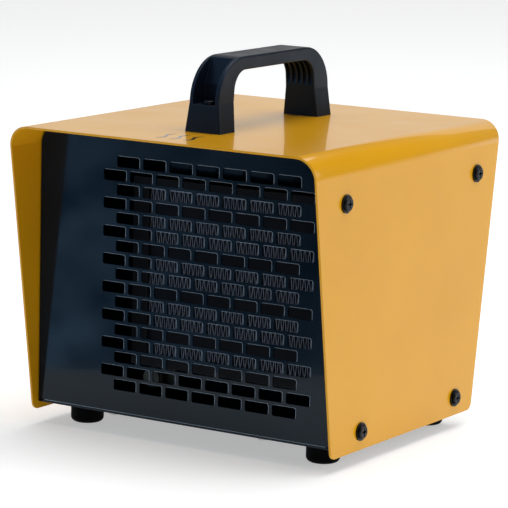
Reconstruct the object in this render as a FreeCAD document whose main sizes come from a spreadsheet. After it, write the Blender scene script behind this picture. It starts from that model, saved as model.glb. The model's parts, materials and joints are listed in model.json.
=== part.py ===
"""Portable ceramic space heater, in millimetres.

The origin is on the floor under the middle of the heater. +Z is up, the hot air leaves through
the front panel towards -Y, and +X is to the right of someone who faces the front panel.
"""
import FreeCAD, Part
import math
import os
import re

import Sketcher

Vector = FreeCAD.Vector

document = FreeCAD.newDocument("SpaceHeater")
sheet = document.addObject("Spreadsheet::Sheet", "Sizes")

# ---------------------------------------------------------------------------------------------
# Driving dimensions. Each is one cell of the sheet, with its alias.
# ---------------------------------------------------------------------------------------------
DRIVING = [
    # cover
    ("cover_width", 200, "outside width of the cover"),
    ("cover_depth", 208, "depth of the cover along its top"),
    ("cover_foot_depth", 158, "depth of the cover's sides along their bottom edge"),
    ("cover_top", 175.4, "height of the cover's top face"),
    ("cover_bottom", 8.4, "height of the sides' bottom edge"),
    ("cover_sheet", 1.2, "thickness of the cover's sheet"),
    ("cover_bend", 12.3, "outside radius of the two top bends"),
    ("cover_corner", 5, "radius of the sides' bottom corners"),
    ("cut_margin", 5, "how far a cutting outline reaches past the piece it cuts"),
    # panels and base
    ("panel_sheet", 1, "thickness of the panels and the base"),
    ("panel_gap", 0.3, "gap between the panels and the cover"),
    ("base_bottom", 12.9, "height of the base's underside"),
    ("panel_corner", 12, "radius of the panels' top corners"),
    ("panel_bend", 0.8, "outside radius of the panels' bends"),
    ("front_face", -75.3, "Y of the front panel's outer face"),
    ("rear_face", 72, "Y of the rear panel's outer face"),
    ("return_depth", 14, "depth of the panels' side returns"),
    ("lip_depth", 12, "depth of the panels' bottom returns"),
    ("lip_half", 66, "half the width of the panels' bottom returns"),
    ("base_upstand", 14, "height of the base's side flanges"),
    ("front_return_low", 3, "height of the front returns' lower ends above the base's underside"),
    ("front_return_height", 142, "height of the front panel's side returns"),
    ("rear_return_low", 45, "height of the rear returns' lower ends"),
    ("rear_return_height", 115, "height of the rear panel's side returns"),
    ("base_overhang", 1.5, "how far the base reaches behind the rear panel"),
    ("flange_front_gap", 3, "gap between the base's side flanges and the front returns"),
    ("flange_rear_gap", 1, "gap between the base's side flanges and the rear panel"),
    # brick pattern of slots
    ("slot_width", 15.2, "width of a slot"),
    ("slot_height", 6.2, "height of a slot"),
    ("slot_corner", 1.2, "radius of a slot's corners"),
    ("slot_pitch", 17.55, "distance between slots in a row"),
    ("row_pitch", 7.93, "distance between rows of slots"),
    ("grille_middle", 14.35, "X of the middle of the front slots"),
    ("grille_top_row", 156.9, "height of the middle of the top row of slots"),
    # side screws
    ("screw_top_height", 147.6, "height of the upper side screws"),
    ("screw_low_height", 18.9, "height of the lower side screws"),
    ("screw_top_front", -70.8, "Y of the upper front side screws"),
    ("screw_top_rear", 76.1, "Y of the upper rear side screws"),
    ("screw_low_front", -48.3, "Y of the lower front side screws"),
    ("screw_low_rear", 58.5, "Y of the lower rear side screws"),
    ("screw_shank", 4, "diameter of the side, handle and foot screws"),
    ("screw_head", 8, "diameter of their heads"),
    ("screw_washer", 10.2, "diameter of the side screws' washer faces"),
    ("side_head_height", 1.6, "height of the side screws' heads above their washer faces"),
    ("side_screw_length", 11, "length of the side screws"),
    ("side_nut", 6.4, "diameter of the press-in nuts on the sides"),
    ("side_nut_length", 4, "length of those nuts"),
    ("head_round", 0.9, "radius of a screw head's edge"),
    ("recess_length", 4.4, "length of each arm pair of a screw's cross recess"),
    ("recess_width", 0.9, "width of the recess's arms"),
    ("recess_depth", 1.5, "depth of the recess"),
    ("washer_sheet", 1, "thickness of washers and washer faces"),
    ("nut_hex", 7, "width across flats of the handle and foot nuts"),
    ("nut_height", 3.2, "height of those nuts"),
    ("clearance", 0.3, "clearance of a hole round its screw, across the diameter"),
    # base screws
    ("base_screw_side", 50, "X of the base screws"),
    ("base_screw_inset", 7, "Y of the base screws from the panels' faces"),
    ("base_screw_shank", 3.5, "diameter of the base screws, which cut their own thread"),
    ("base_screw_head", 6.6, "diameter of their heads"),
    ("base_head_height", 2, "height of their heads"),
    ("base_screw_length", 7, "length of the base screws"),
    # handle
    ("handle_width", 23.6, "width of the handle at its base"),
    ("handle_grip_width", 19.6, "width of the handle's grip"),
    ("handle_neck", 16.5, "height at which the handle reaches its grip's width"),
    ("handle_length", 119.2, "length of the handle at its base"),
    ("handle_height", 41.2, "height of the handle above the cover"),
    ("handle_leg", 15.6, "thickness of the handle's legs at their base"),
    ("handle_lean", 2.5, "inward lean of the legs' outer faces"),
    ("handle_inner_lean", 3, "inward lean of the legs' inner faces"),
    ("handle_grip", 7.6, "thickness of the handle's grip"),
    ("handle_outer_round", 25, "radius of the handle's outer corners"),
    ("handle_inner_round", 11.5, "radius of the handle's inner corners"),
    ("handle_edge", 1, "radius of the handle's long edges"),
    ("well_width", 14.8, "width of the screw wells in the legs"),
    ("well_wall", 2.5, "distance from a well's back wall to the leg's inner face, at the base"),
    ("well_floor", 15.4, "height of the wells' floors above the cover"),
    ("well_bend", 26, "height above the cover where a well's back wall starts to slope"),
    ("well_slope", 7, "how far the back wall slopes in above that"),
    ("rib_groove", 2.4, "width of the grooves between the grip's ribs"),
    ("rib_pitch", 3.6, "distance between the grip's ribs"),
    ("rib_depth", 4.6, "depth of the grooves between the grip's ribs"),
    ("rib_reach", 1, "depth of the grooves in the legs' inner faces"),
    ("rib_low", 10, "height of the grooves' outline above the cover"),
    ("rib_round", 2.5, "how much rounder the grooves' corners are than the inner corners"),
    ("handle_over", 1, "how far the outlines of wells and tapers reach above the grip"),
    ("handle_screw_inset", 7, "distance from the handle's ends to its screws"),
    ("handle_head_height", 2.2, "height of the handle screws' heads"),
    ("handle_screw_length", 22, "length of the handle screws"),
    ("handle_washer", 12, "diameter of the washers under the cover"),
    # feet
    ("foot_diameter", 19, "diameter of a rubber foot"),
    ("foot_round", 3, "radius of a foot's bottom edge"),
    ("foot_side", 79.5, "X of the feet"),
    ("foot_front", -53, "Y of the front feet"),
    ("foot_rear", 63.5, "Y of the rear feet"),
    ("foot_recess", 9.6, "diameter of the recess for the foot screw"),
    ("foot_recess_depth", 5, "depth of that recess"),
    ("foot_head_height", 2.4, "height of the foot screws' heads"),
    ("foot_screw_length", 13, "length of the foot screws"),
    # ceramic core
    ("core_left", -33, "X of the left end of the fins"),
    ("core_length", 113, "length of the fins"),
    ("core_front", -60.3, "Y of the front of the core"),
    ("core_depth", 16, "depth of the core"),
    ("core_middle", 94, "height of the middle of the core"),
    ("tube_height", 7.9, "height of a heater tube"),
    ("tube_wall", 1.2, "wall of a heater tube"),
    ("tube_grip", 4, "length of tube held in each end holder"),
    ("fin_pitch", 2.8, "distance between folds of a fin strip"),
    ("fin_sheet", 0.3, "thickness of the fin strip"),
    ("fin_plate", 0.6, "thickness of the fin strip's backing plate"),
    ("sleeve_wall", 0.35, "wall of the insulating sleeve"),
    ("electrode_sheet", 0.8, "thickness of an electrode"),
    ("electrode_tab", 13, "length of an electrode's tab outside the tube"),
    ("electrode_short", 2, "how far the electrodes stop short of the fins' right end"),
    ("tab_side", 3.2, "Y of the electrodes' tabs from the core's axis"),
    ("tab_width", 4.8, "width of those tabs"),
    ("tab_overlap", 1, "length of a tab that lies in its electrode"),
    ("stone_depth", 12, "depth of the stones and the electrodes"),
    ("stone_start", 4, "distance from the fins' left end to the first stone"),
    ("stone_gap", 2, "gap between two stones"),
    ("stone_length", 24, "length of a ceramic stone"),
    ("holder_length", 10, "length of an end holder along X"),
    ("holder_depth", 20, "depth of the end holders and the rails"),
    ("rail_sheet", 1.5, "thickness of the core's rails"),
    ("rail_lip", 6, "height of the rails' lips"),
    ("core_screw_shank", 3, "diameter of the core screws"),
    ("core_screw_hole", 3.4, "diameter of the rails' holes for them"),
    ("core_screw_bore", 7, "depth of the holders' bores for them"),
    ("core_screw_head", 5.6, "diameter of their heads"),
    ("core_head_height", 1.8, "height of their heads"),
    ("core_screw_length", 7.5, "length of the core screws"),
    # thermal cutout
    ("cutout_side", 3, "X of the thermal cutout from the fins' left end"),
    ("cutout_drop", 7, "height of its axis below the low rail's lips"),
    ("cutout_can", 12, "diameter of its can"),
    ("cutout_can_length", 6, "length of its can"),
    ("cutout_cap", 10.6, "diameter of its cap"),
    ("cutout_cap_length", 8, "length of can and cap together"),
    ("cutout_plate_left", 4, "how far its plate reaches left of its axis"),
    ("cutout_plate_right", 11, "how far its plate reaches right of its axis"),
    ("cutout_plate_low", 6, "how far its plate reaches below its axis"),
    ("cutout_plate_front", 1, "distance of its plate's front face ahead of the core's axis"),
    ("cutout_plate_rear", 0.2, "distance of its plate's rear face behind the core's axis"),
    # air path and fan
    ("duct_sheet", 1, "thickness of the air duct"),
    ("baffle_side_gap", 4, "gap between the baffle and the panels' sides"),
    ("baffle_top_gap", 8, "gap between the baffle and the panels' top edge"),
    ("baffle_corner", 6, "radius of the baffle's top corners"),
    ("baffle_flange", 10, "depth of the baffle's flange on the base"),
    ("baffle_flange_half", 60, "half the width of that flange"),
    ("shroud_face", 8, "Y of the fan shroud's front face"),
    ("shroud_sheet", 1.2, "thickness of the fan shroud"),
    ("shroud_collar", 14, "length of the shroud's collar"),
    ("shroud_left", 19, "how far the shroud reaches left of the fins"),
    ("shroud_right", 96, "X of the shroud's right edge"),
    ("shroud_top", 168, "height of the shroud's top edge"),
    ("shroud_foot", 12, "depth of the shroud's foot on the base"),
    ("collar_wall", 1.5, "wall of the shroud's collar"),
    ("fan_diameter", 92, "diameter of the impeller"),
    ("fan_opening", 98, "bore of the shroud"),
    ("fan_front", 10, "Y of the front of the impeller"),
    ("fan_depth", 14, "depth of the impeller"),
    ("hub_diameter", 28, "diameter of the impeller's hub"),
    ("hub_wall", 2, "wall of the hub"),
    ("hub_face", 5, "thickness of the hub's face"),
    ("hub_core", 9, "diameter of the hub's middle"),
    ("blade_root", 10, "distance of the blades' roots from the fan's axis"),
    ("blade_sheet", 1.6, "thickness of a blade"),
    ("blade_chord", 24, "length of a blade across its root"),
    ("blade_pitch", 32, "angle between a blade and the fan's disc"),
    ("shaft_diameter", 4, "diameter of the fan shaft"),
    ("shaft_lead", 1, "length of shaft ahead of the hub"),
    ("shaft_rear", 4, "length of shaft past the rear bracket's plate"),
    ("running_gap", 0.05, "radial clearance of a running fit"),
    ("strap_face", 28, "Y of the front of the motor strap"),
    ("strap_sheet", 1.5, "thickness of the motor strap"),
    ("strap_reach", 56, "X of the strap's legs from the fan's axis"),
    ("strap_width", 18, "width of the motor strap"),
    ("strap_toe", 9, "length of the strap's toes"),
    ("strap_hole", 14, "diameter of the hole in the strap's middle"),
    ("bracket_sheet", 2, "thickness of the bearing brackets"),
    ("bracket_post", 4, "length of the posts between brackets and stator"),
    ("bracket_half", 8, "half the height of the bearing brackets"),
    ("post_diameter", 8, "diameter of the posts"),
    ("boss_diameter", 13, "diameter of the bearing bosses"),
    ("boss_length", 4, "length of the bearing bosses"),
    ("bearing_diameter", 8, "outside diameter of the bearings"),
    ("stator_depth", 15, "depth of the stator"),
    ("stator_half", 24, "half the width of the stator"),
    ("stator_low", 40, "how far the stator reaches below the fan's axis"),
    ("stator_high", 20, "how far the stator reaches above it"),
    ("window_half", 14, "half the width of the stator's window"),
    ("window_low", 32, "distance of the window's bottom below the axis"),
    ("window_high", 18, "distance of the window's top below the axis"),
    ("coil_half", 13.5, "half the width of the coil"),
    ("coil_build", 6.5, "thickness of the winding ahead of and behind the stator"),
    ("coil_low", 47, "distance of the coil's bottom below the axis"),
    ("coil_high", 19, "distance of the coil's top below the axis"),
    ("coil_round", 3, "radius of the coil's long edges"),
    ("rotor_diameter", 24.4, "diameter of the rotor"),
    ("rotor_gap", 0.4, "air gap round the rotor"),
    ("bolt_offset", 19, "X of the motor bolts from the fan's axis"),
    ("bolt_diameter", 3.5, "diameter of the motor bolts"),
    ("bolt_head", 6, "diameter of their heads"),
    ("bolt_head_height", 1.6, "height of their heads"),
    ("bolt_length", 33, "length of the motor bolts"),
    ("bolt_nut_hex", 6, "width across flats of their nuts"),
    ("bolt_nut_height", 2.8, "height of their nuts"),
    # controls on the rear panel
    ("control_side", -68, "X of the controls"),
    ("thermostat_height", 134, "height of the thermostat's axis"),
    ("selector_height", 91, "height of the selector's axis"),
    ("control_half", 15, "half the width of the controls' bodies"),
    ("thermostat_half", 13, "half the height of the thermostat's body"),
    ("thermostat_depth", 20, "depth of the thermostat's body"),
    ("selector_half", 15, "half the height of the selector's body"),
    ("selector_depth", 24, "depth of the selector's body"),
    ("lug_side", 8, "X of the bodies' connecting lugs from the spindle"),
    ("lug_up", 7, "height of the lugs above and below the spindle"),
    ("lug_width", 6.3, "width of a lug"),
    ("lug_length", 8, "length of a lug outside the body"),
    ("lug_root", 1, "length of a lug inside the body"),
    ("lug_sheet", 0.8, "thickness of a lug"),
    ("gland_height", 45, "height of the cable gland's axis"),
    ("spindle_diameter", 6, "diameter of the control spindles"),
    ("spindle_inside", 9.8, "length of a spindle inside its body"),
    ("spindle_play", 0.2, "gap behind a spindle's inner end"),
    ("bushing_diameter", 9.8, "diameter of the controls' bushings"),
    ("bushing_length", 7, "length of the bushings outside the panel"),
    ("control_nut_hex", 14, "width across flats of the controls' nuts"),
    ("control_nut_height", 2.5, "height of those nuts"),
    ("knob_diameter", 34, "diameter of the knobs"),
    ("knob_disc", 9, "thickness of a knob's disc"),
    ("knob_grip", 8, "height of a knob's grip"),
    ("knob_gap", 1, "gap between a knob and the panel"),
    ("knob_recess", 21, "diameter of the recess behind a knob's face"),
    ("knob_face", 2, "thickness of a knob's face over that recess"),
    ("knob_cover", 3, "thickness of a grip over the spindle's end"),
    ("grip_half", 4, "half the width of a knob's grip"),
    ("grip_inset", 1.5, "distance from a grip's ends to the disc's rim"),
    ("grip_round", 2.4, "radius of a grip's edges"),
    ("gland_thread", 16, "diameter of the gland's barrel"),
    ("gland_hex", 22, "width across flats of the gland"),
    ("gland_bore", 8.4, "bore of the gland"),
    ("gland_flange", 6, "thickness of the gland's hexagon"),
    ("gland_barrel", 11, "length of the gland's barrel inside the panel's outer face"),
    ("gland_neck", 15, "diameter of the gland's neck"),
    ("gland_neck_length", 15, "distance from the panel to the neck's end"),
    ("gland_gap", 0.5, "gap between the gland's hexagon and its cap"),
    ("gland_cap", 20, "diameter of the gland's cap"),
    ("gland_cap_length", 14, "length of the gland's cap"),
    ("gland_cap_round", 4, "radius of the cap's outer edge"),
    ("gland_nut_height", 4, "height of the gland's locknut"),
    # terminal block
    ("terminal_half", 19, "half the width of the terminal block"),
    ("terminal_front", 22, "Y of the terminal block's front"),
    ("terminal_depth", 16, "depth of the terminal block"),
    ("terminal_height", 13, "height of the terminal block"),
    ("terminal_pitch", 12, "distance between its ways"),
    ("terminal_way", 5, "bore of a way"),
    ("terminal_way_up", 6, "height of the ways above the base"),
    ("terminal_inset", 4, "distance from the block's front and rear to its screws"),
    ("terminal_shank", 3, "diameter of the terminal screws"),
    ("terminal_bore_depth", 6, "depth of their bores"),
    ("terminal_head", 4.6, "diameter of their heads"),
    ("terminal_head_height", 1.6, "height of their heads"),
    ("terminal_screw_length", 5, "length of the terminal screws"),
]

for row, (alias, amount, meaning) in enumerate(DRIVING, start=1):
    sheet.set("A%d" % row, meaning)
    sheet.set("B%d" % row, str(amount))
    sheet.setAlias("B%d" % row, alias)
document.recompute()
ALIASES = {alias for alias, amount, meaning in DRIVING}

# Lengths worked out from the driving dimensions.
INSIDE_TOP = "(cover_top - cover_sheet)"
PANEL_HALF = "(cover_width / 2 - cover_sheet - panel_gap)"
PANEL_TOP = "(cover_top - cover_sheet - panel_gap)"
BASE_TOP = "(base_bottom + panel_sheet)"
REAR_INNER = "(rear_face - panel_sheet)"
CORE_RIGHT = "(core_left + core_length)"
MODULES = 4
MODULE_PITCH = "(3 * row_pitch)"
CORE_TOP = "(core_middle + %d / 2 * %s)" % (MODULES, MODULE_PITCH)
CORE_LOW = "(core_middle - %d / 2 * %s)" % (MODULES, MODULE_PITCH)
CORE_AXIS = "(core_front + core_depth / 2)"
HOLDER_FRONT = "(core_front + core_depth / 2 - holder_depth / 2)"
HOLDER_REAR = "(core_front + core_depth / 2 + holder_depth / 2)"
FAN_SIDE = "(core_left + core_length / 2)"
STATOR_FRONT = "(strap_face + strap_sheet + bracket_sheet + bracket_post)"
STATOR_REAR = "(strap_face + strap_sheet + bracket_sheet + bracket_post + stator_depth)"
KNOB_FRONT = "(rear_face + knob_gap)"
GLAND_CAP_START = "(rear_face + gland_flange + gland_gap)"
FRONT_COLUMNS, FRONT_ROWS = 7, 17
REAR_COLUMNS, REAR_ROWS = 5, 13
STONES = 4
BLADES = 7
GROOVES = 5
TERMINAL_WAYS = 3

NEAR = 0.01  # places closer than this are the same
SHORT_EDGE = 0.5  # an edge shorter than this along an axis does not run along it
LONG_EDGE = 5  # an edge longer than this is not a corner's arc

TURNS = {
    "+X": FreeCAD.Rotation(Vector(0, 1, 0), 90),
    "-X": FreeCAD.Rotation(Vector(0, 1, 0), -90),
    "+Y": FreeCAD.Rotation(Vector(1, 0, 0), -90),
    "-Y": FreeCAD.Rotation(Vector(1, 0, 0), 90),
    "+Z": FreeCAD.Rotation(),
    "-Z": FreeCAD.Rotation(Vector(1, 0, 0), 180),
}
nodes = []


# ---------------------------------------------------------------------------------------------
# Small helpers: formulas name the sheet's aliases directly.
# ---------------------------------------------------------------------------------------------
def linked(formula):
    """The formula with each alias written as a reference to the sheet."""
    return re.sub(r"[a-z_]+", lambda word: "Sizes." + word[0] if word[0] in ALIASES else word[0], formula)


def number(formula):
    """The formula's value now."""
    return float(sheet.evalExpression(linked(formula)))


def bind(item, **formulas):
    for name, formula in formulas.items():
        item.setExpression(name, linked(formula))


def place(item, spot, toward="+Z"):
    """Put an item's own origin at a spot and turn its own +Z towards an axis."""
    item.Placement = FreeCAD.Placement(Vector(*[number(along) for along in spot]), TURNS[toward])
    for letter, along in zip("xyz", spot):
        item.setExpression("Placement.Base." + letter, linked(along))


def keep(item, label):
    """Name an item as one of the heater's nodes."""
    item.Label = label
    nodes.append(item)
    return item


# ---------------------------------------------------------------------------------------------
# Part primitives and booleans
# ---------------------------------------------------------------------------------------------
def box(name, low, high):
    item = document.addObject("Part::Box", name)
    sides = ["(%s) - (%s)" % (top, bottom) for bottom, top in zip(low, high)]
    bind(item, Length=sides[0], Width=sides[1], Height=sides[2])
    place(item, low)
    return item


def cylinder(name, diameter, length, spot, toward):
    item = document.addObject("Part::Cylinder", name)
    bind(item, Radius="(%s) / 2" % diameter, Height=length)
    place(item, spot, toward)
    return item


def hexagon(name, across_flats, height, spot, toward):
    item = document.addObject("Part::Prism", name)
    item.Polygon = 6
    bind(item, Circumradius="(%s) / 2 / cos(30)" % across_flats, Height=height)
    place(item, spot, toward)
    return item


def fuse(name, items):
    item = document.addObject("Part::MultiFuse", name)
    item.Shapes = items
    return item


def cut(name, base, tools):
    item = document.addObject("Part::Cut", name)
    item.Base = base
    item.Tool = tools[0] if len(tools) == 1 else fuse(name + "_tools", tools)
    return item


def group(label, items):
    """Separate solids that share one node."""
    item = document.addObject("Part::Compound", label)
    item.Links = items
    return keep(item, label)


def rounded(name, base, radius, choose):
    """A fillet on the base's edges that choose() picks."""
    document.recompute()
    item = document.addObject("Part::Fillet", name)
    item.Base = base
    size = number(radius)
    edges = enumerate(base.Shape.Edges, start=1)
    item.Edges = [(index, size, size) for index, edge in edges if choose(edge)]
    return item


def ring(name, outer, inner, length, spot, toward):
    outside = cylinder(name + "_outside", outer, length, spot, toward)
    inside = cylinder(name + "_inside", inner, length, spot, toward)
    return cut(name, outside, [inside])


def hex_nut(name, bore, spot, toward, across_flats="nut_hex", height="nut_height"):
    blank = hexagon(name + "_blank", across_flats, height, spot, toward)
    hole = cylinder(name + "_bore", bore, height, spot, toward)
    return cut(name, blank, [hole])


def shifted(spot, toward, distance):
    """A spot moved along an axis by a formula."""
    letter = "XYZ".index(toward[1])
    moved = list(spot)
    moved[letter] = "(%s) %s (%s)" % (spot[letter], toward[0], distance)
    return tuple(moved)


OPPOSITE = {"+": "-", "-": "+"}


def screw(name, spot, outward, head, head_height, shank, length, washer=None):
    """A cross-recess screw. The spot is under its head and outward is the way its head points."""
    inward = OPPOSITE[outward[0]] + outward[1]
    washer_height = "washer_sheet" if washer else "0"
    top_height = "(%s) + %s" % (head_height, washer_height)
    dome = cylinder(name + "_head", head, top_height, spot, outward)
    along = "XYZ".index(outward[1])
    limit = number(shifted(spot, outward, top_height)[along])

    def rim(edge):
        points = [vertex.Point[along] for vertex in edge.Vertexes]
        closed = len(edge.Vertexes) == 1
        return closed and all(abs(point - limit) < NEAR for point in points)

    pieces = [rounded(name + "_dome", dome, "head_round", rim)]
    if washer:
        pieces.append(cylinder(name + "_washer", washer, washer_height, spot, outward))
    pieces.append(cylinder(name + "_shank", shank, length, spot, inward))
    solid = fuse(name + "_solid", pieces)
    start = shifted(spot, outward, "(%s) - recess_depth" % top_height)
    end = shifted(start, outward, "2 * recess_depth")
    slots = []
    for turn, arms in enumerate([("recess_length", "recess_width"), ("recess_width", "recess_length")]):
        widths = list(arms)
        low, high = list(start), list(start)
        for axis in range(3):
            if axis == along:
                low[axis], high[axis] = (start[axis], end[axis]) if outward[0] == "+" else (end[axis], start[axis])
            else:
                width = widths.pop()
                low[axis] = "(%s) - %s / 2" % (start[axis], width)
                high[axis] = "(%s) + %s / 2" % (start[axis], width)
        slots.append(box("%s_slot_%d" % (name, turn), low, high))
    return cut(name, solid, slots)


# ---------------------------------------------------------------------------------------------
# PartDesign bodies, sketches and features
# ---------------------------------------------------------------------------------------------
def new_body(label):
    return keep(document.addObject("PartDesign::Body", label), label)


def sketch(body, plane, name, at="0"):
    """A sketch parallel to one of the body's planes, at a place along that plane's normal."""
    item = body.newObject("Sketcher::SketchObject", name)
    support = [feature for feature in body.Origin.OriginFeatures if feature.Role == plane + "_Plane"]
    item.AttachmentSupport = [(support[0], "")]
    item.MapMode = "FlatFace"
    side = "-" if plane == "XZ" else ""
    item.setExpression("AttachmentOffset.Base.z", linked("%s(%s)" % (side, at)))
    return item


def pin_point(item, geometry, point, across, up):
    """Bind one point of a sketch to two formulas."""
    for kind, formula in (("DistanceX", across), ("DistanceY", up)):
        rule = Sketcher.Constraint(kind, -1, 1, geometry, point, number(formula))
        item.setExpression("Constraints[%d]" % item.addConstraint(rule), linked(formula))


def polygon(item, corners):
    """A closed outline through corners, each a pair of formulas."""
    points = [Vector(number(across), number(up), 0) for across, up in corners]
    count = len(points)
    first = None
    for index in range(count):
        line = item.addGeometry(Part.LineSegment(points[index], points[(index + 1) % count]))
        first = line if first is None else first
    for index in range(count):
        following = first + (index + 1) % count
        item.addConstraint(Sketcher.Constraint("Coincident", first + index, 2, following, 1))
        pin_point(item, first + index, 1, *corners[index])


def rectangle(item, low, high):
    polygon(item, [low, (high[0], low[1]), high, (low[0], high[1])])


def circle(item, centre, diameter):
    middle = Vector(number(centre[0]), number(centre[1]), 0)
    curve = Part.Circle(middle, Vector(0, 0, 1), number(diameter) / 2)
    index = item.addGeometry(curve)
    pin_point(item, index, 3, *centre)
    rule = Sketcher.Constraint("Diameter", index, number(diameter))
    item.setExpression("Constraints[%d]" % item.addConstraint(rule), linked(diameter))


def pad(body, profile, length, toward=0):
    """Material from a sketch: towards + or - along its axis, or to both sides alike when 0."""
    item = body.newObject("PartDesign::Pad", profile.Name + "_pad")
    item.Profile = profile
    bind(item, Length=length)
    item.Midplane = toward == 0
    normal = -1 if "XZ" in profile.AttachmentSupport[0][0].Role else 1
    item.Reversed = toward * normal < 0
    profile.Visibility = False
    return item


def pocket(body, profile, length=None, toward=0):
    """A cut from a sketch: through everything when it has no length, both ways alike when toward is 0."""
    item = body.newObject("PartDesign::Pocket", profile.Name + "_pocket")
    item.Profile = profile
    item.Midplane = toward == 0
    if length is None:
        item.Type = "ThroughAll"
    else:
        bind(item, Length=length)
    normal = -1 if "XZ" in profile.AttachmentSupport[0][0].Role else 1
    item.Reversed = toward * normal > 0
    return item


def soften(body, name, radius, choose):
    """A fillet on the edges of the body so far that choose() picks."""
    document.recompute()
    base = body.Tip
    edges = enumerate(base.Shape.Edges, start=1)
    item = body.newObject("PartDesign::Fillet", name)
    item.Base = (base, ["Edge%d" % index for index, edge in edges if choose(edge)])
    bind(item, Radius=radius)
    return item


def edge_along(axis, **limits):
    """A test for straight edges along an axis whose coordinates match the given formulas."""
    letter = "XYZ".index(axis)
    wanted = {"xyz".index(name): number(formula) for name, formula in limits.items()}

    def choose(edge):
        ends = [vertex.Point for vertex in edge.Vertexes]
        if len(ends) != 2 or abs(ends[0][letter] - ends[1][letter]) < SHORT_EDGE:
            return False
        return all(abs(abs(end[index]) - abs(amount)) < NEAR and end[index] * amount >= 0
                   for end in ends for index, amount in wanted.items())

    return choose


def edge_sides(axis, across, **limits):
    """As edge_along, on both sides of X = 0."""
    right = edge_along(axis, x=across, **limits)
    left = edge_along(axis, x="-" + across, **limits)
    return lambda edge: right(edge) or left(edge)


def punch_bricks(body, name, at, middle, top_row, columns, rows):
    """A brick pattern of slots about a middle X: odd rows have some columns and even rows one more."""
    layouts = [
        (name + "_odd", top_row, columns, (rows + 1) // 2),
        (name + "_even", "%s - row_pitch" % top_row, columns + 1, rows // 2),
    ]
    for label, height, across, down in layouts:
        profile = sketch(body, "XZ", label, at)
        start = "%s - (%d * slot_pitch + slot_width) / 2" % (middle, across - 1)
        low = (start, "%s - slot_height / 2" % height)
        high = ("%s + slot_width" % start, "%s + slot_height / 2" % height)
        rounded_rectangle(profile, low, high, "slot_corner")
        first = pocket(body, profile)
        document.recompute()
        pattern = body.newObject("PartDesign::LinearPattern", label + "_pattern")
        pattern.Originals = [first]
        pattern.Direction = (profile, ["H_Axis"])
        bind(pattern, Length="slot_pitch * %d" % (across - 1), Length2="2 * row_pitch * %d" % (down - 1))
        pattern.Occurrences = across
        pattern.Direction2 = (profile, ["V_Axis"])
        pattern.Reversed2 = True
        pattern.Occurrences2 = down
        body.Tip = pattern


def rounded_rectangle(item, low, high, corner):
    """A rectangle with equal round corners, its sizes bound to formulas."""
    radius = number(corner)
    left, right = "%s + %s" % (low[0], corner), "%s - %s" % (high[0], corner)
    under, over = "%s + %s" % (low[1], corner), "%s - %s" % (high[1], corner)
    centres = [(right, under, 270), (right, over, 0), (left, over, 90), (left, under, 180)]
    arcs = []
    for across, up, angle in centres:
        turn = Part.Circle(Vector(number(across), number(up), 0), Vector(0, 0, 1), radius)
        arcs.append(item.addGeometry(Part.ArcOfCircle(turn, math.radians(angle), math.radians(angle + 90))))
    for index, arc in enumerate(arcs):
        following = arcs[(index + 1) % 4]
        line = item.addGeometry(Part.LineSegment(item.getPoint(arc, 2), item.getPoint(following, 1)))
        item.addConstraint(Sketcher.Constraint("Tangent", arc, 2, line, 1))
        item.addConstraint(Sketcher.Constraint("Tangent", line, 2, following, 1))
    for arc, (across, up, angle) in zip(arcs, centres):
        pin_point(item, arc, 3, across, up)
    rule = Sketcher.Constraint("Radius", arcs[0], radius)
    item.setExpression("Constraints[%d]" % item.addConstraint(rule), linked(corner))


# ---------------------------------------------------------------------------------------------
# Sheet-metal casing
# ---------------------------------------------------------------------------------------------
SIDE_SCREWS = [
    ("screw_top_front", "screw_top_height"),
    ("screw_top_rear", "screw_top_height"),
    ("screw_low_front", "screw_low_height"),
    ("screw_low_rear", "screw_low_height"),
]
HANDLE_SCREW = "(handle_length / 2 - handle_screw_inset)"
FEET = {
    "front_left": ("-foot_side", "foot_front"),
    "front_right": ("foot_side", "foot_front"),
    "rear_left": ("-foot_side", "foot_rear"),
    "rear_right": ("foot_side", "foot_rear"),
}
BASE_SCREWS = [
    ("-base_screw_side", "(front_face + base_screw_inset)"),
    ("base_screw_side", "(front_face + base_screw_inset)"),
    ("-base_screw_side", "(rear_face - base_screw_inset)"),
    ("base_screw_side", "(rear_face - base_screw_inset)"),
]


def make_cover():
    body = new_body("cover")
    outline = sketch(body, "XZ", "cover_outline")
    rectangle(outline, ("-cover_width / 2", "cover_bottom"), ("cover_width / 2", "cover_top"))
    pad(body, outline, "cover_depth")
    inside = sketch(body, "XZ", "cover_inside")
    inner = "cover_width / 2 - cover_sheet"
    rectangle(inside, ("-(%s)" % inner, "cover_bottom - cut_margin"), (inner, INSIDE_TOP))
    pocket(body, inside)
    soften(body, "cover_inner_bends", "cover_bend - cover_sheet", edge_along("Y", z=INSIDE_TOP))
    soften(body, "cover_outer_bends", "cover_bend", edge_along("Y", z="cover_top"))
    for name, side in (("front", "-"), ("rear", "")):
        slope = sketch(body, "YZ", "cover_slope_" + name)
        top = "%scover_depth / 2" % side
        foot = "%scover_foot_depth / 2" % side
        beyond = "%s(cover_depth / 2 + cut_margin)" % side
        corners = [(top, "cover_top"), (foot, "cover_bottom"), (foot, "cover_bottom - cut_margin"),
                   (beyond, "cover_bottom - cut_margin"), (beyond, "cover_top")]
        polygon(slope, corners)
        pocket(body, slope)
    soften(body, "cover_corners", "cover_corner", edge_along("X", z="cover_bottom"))
    holes = sketch(body, "YZ", "cover_side_holes")
    for along, height in SIDE_SCREWS:
        circle(holes, (along, height), "screw_shank + clearance")
    pocket(body, holes)
    top_holes = sketch(body, "XY", "cover_handle_holes")
    for side in ("-", ""):
        circle(top_holes, ("0", side + HANDLE_SCREW), "screw_shank + clearance")
    pocket(body, top_holes)


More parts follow.
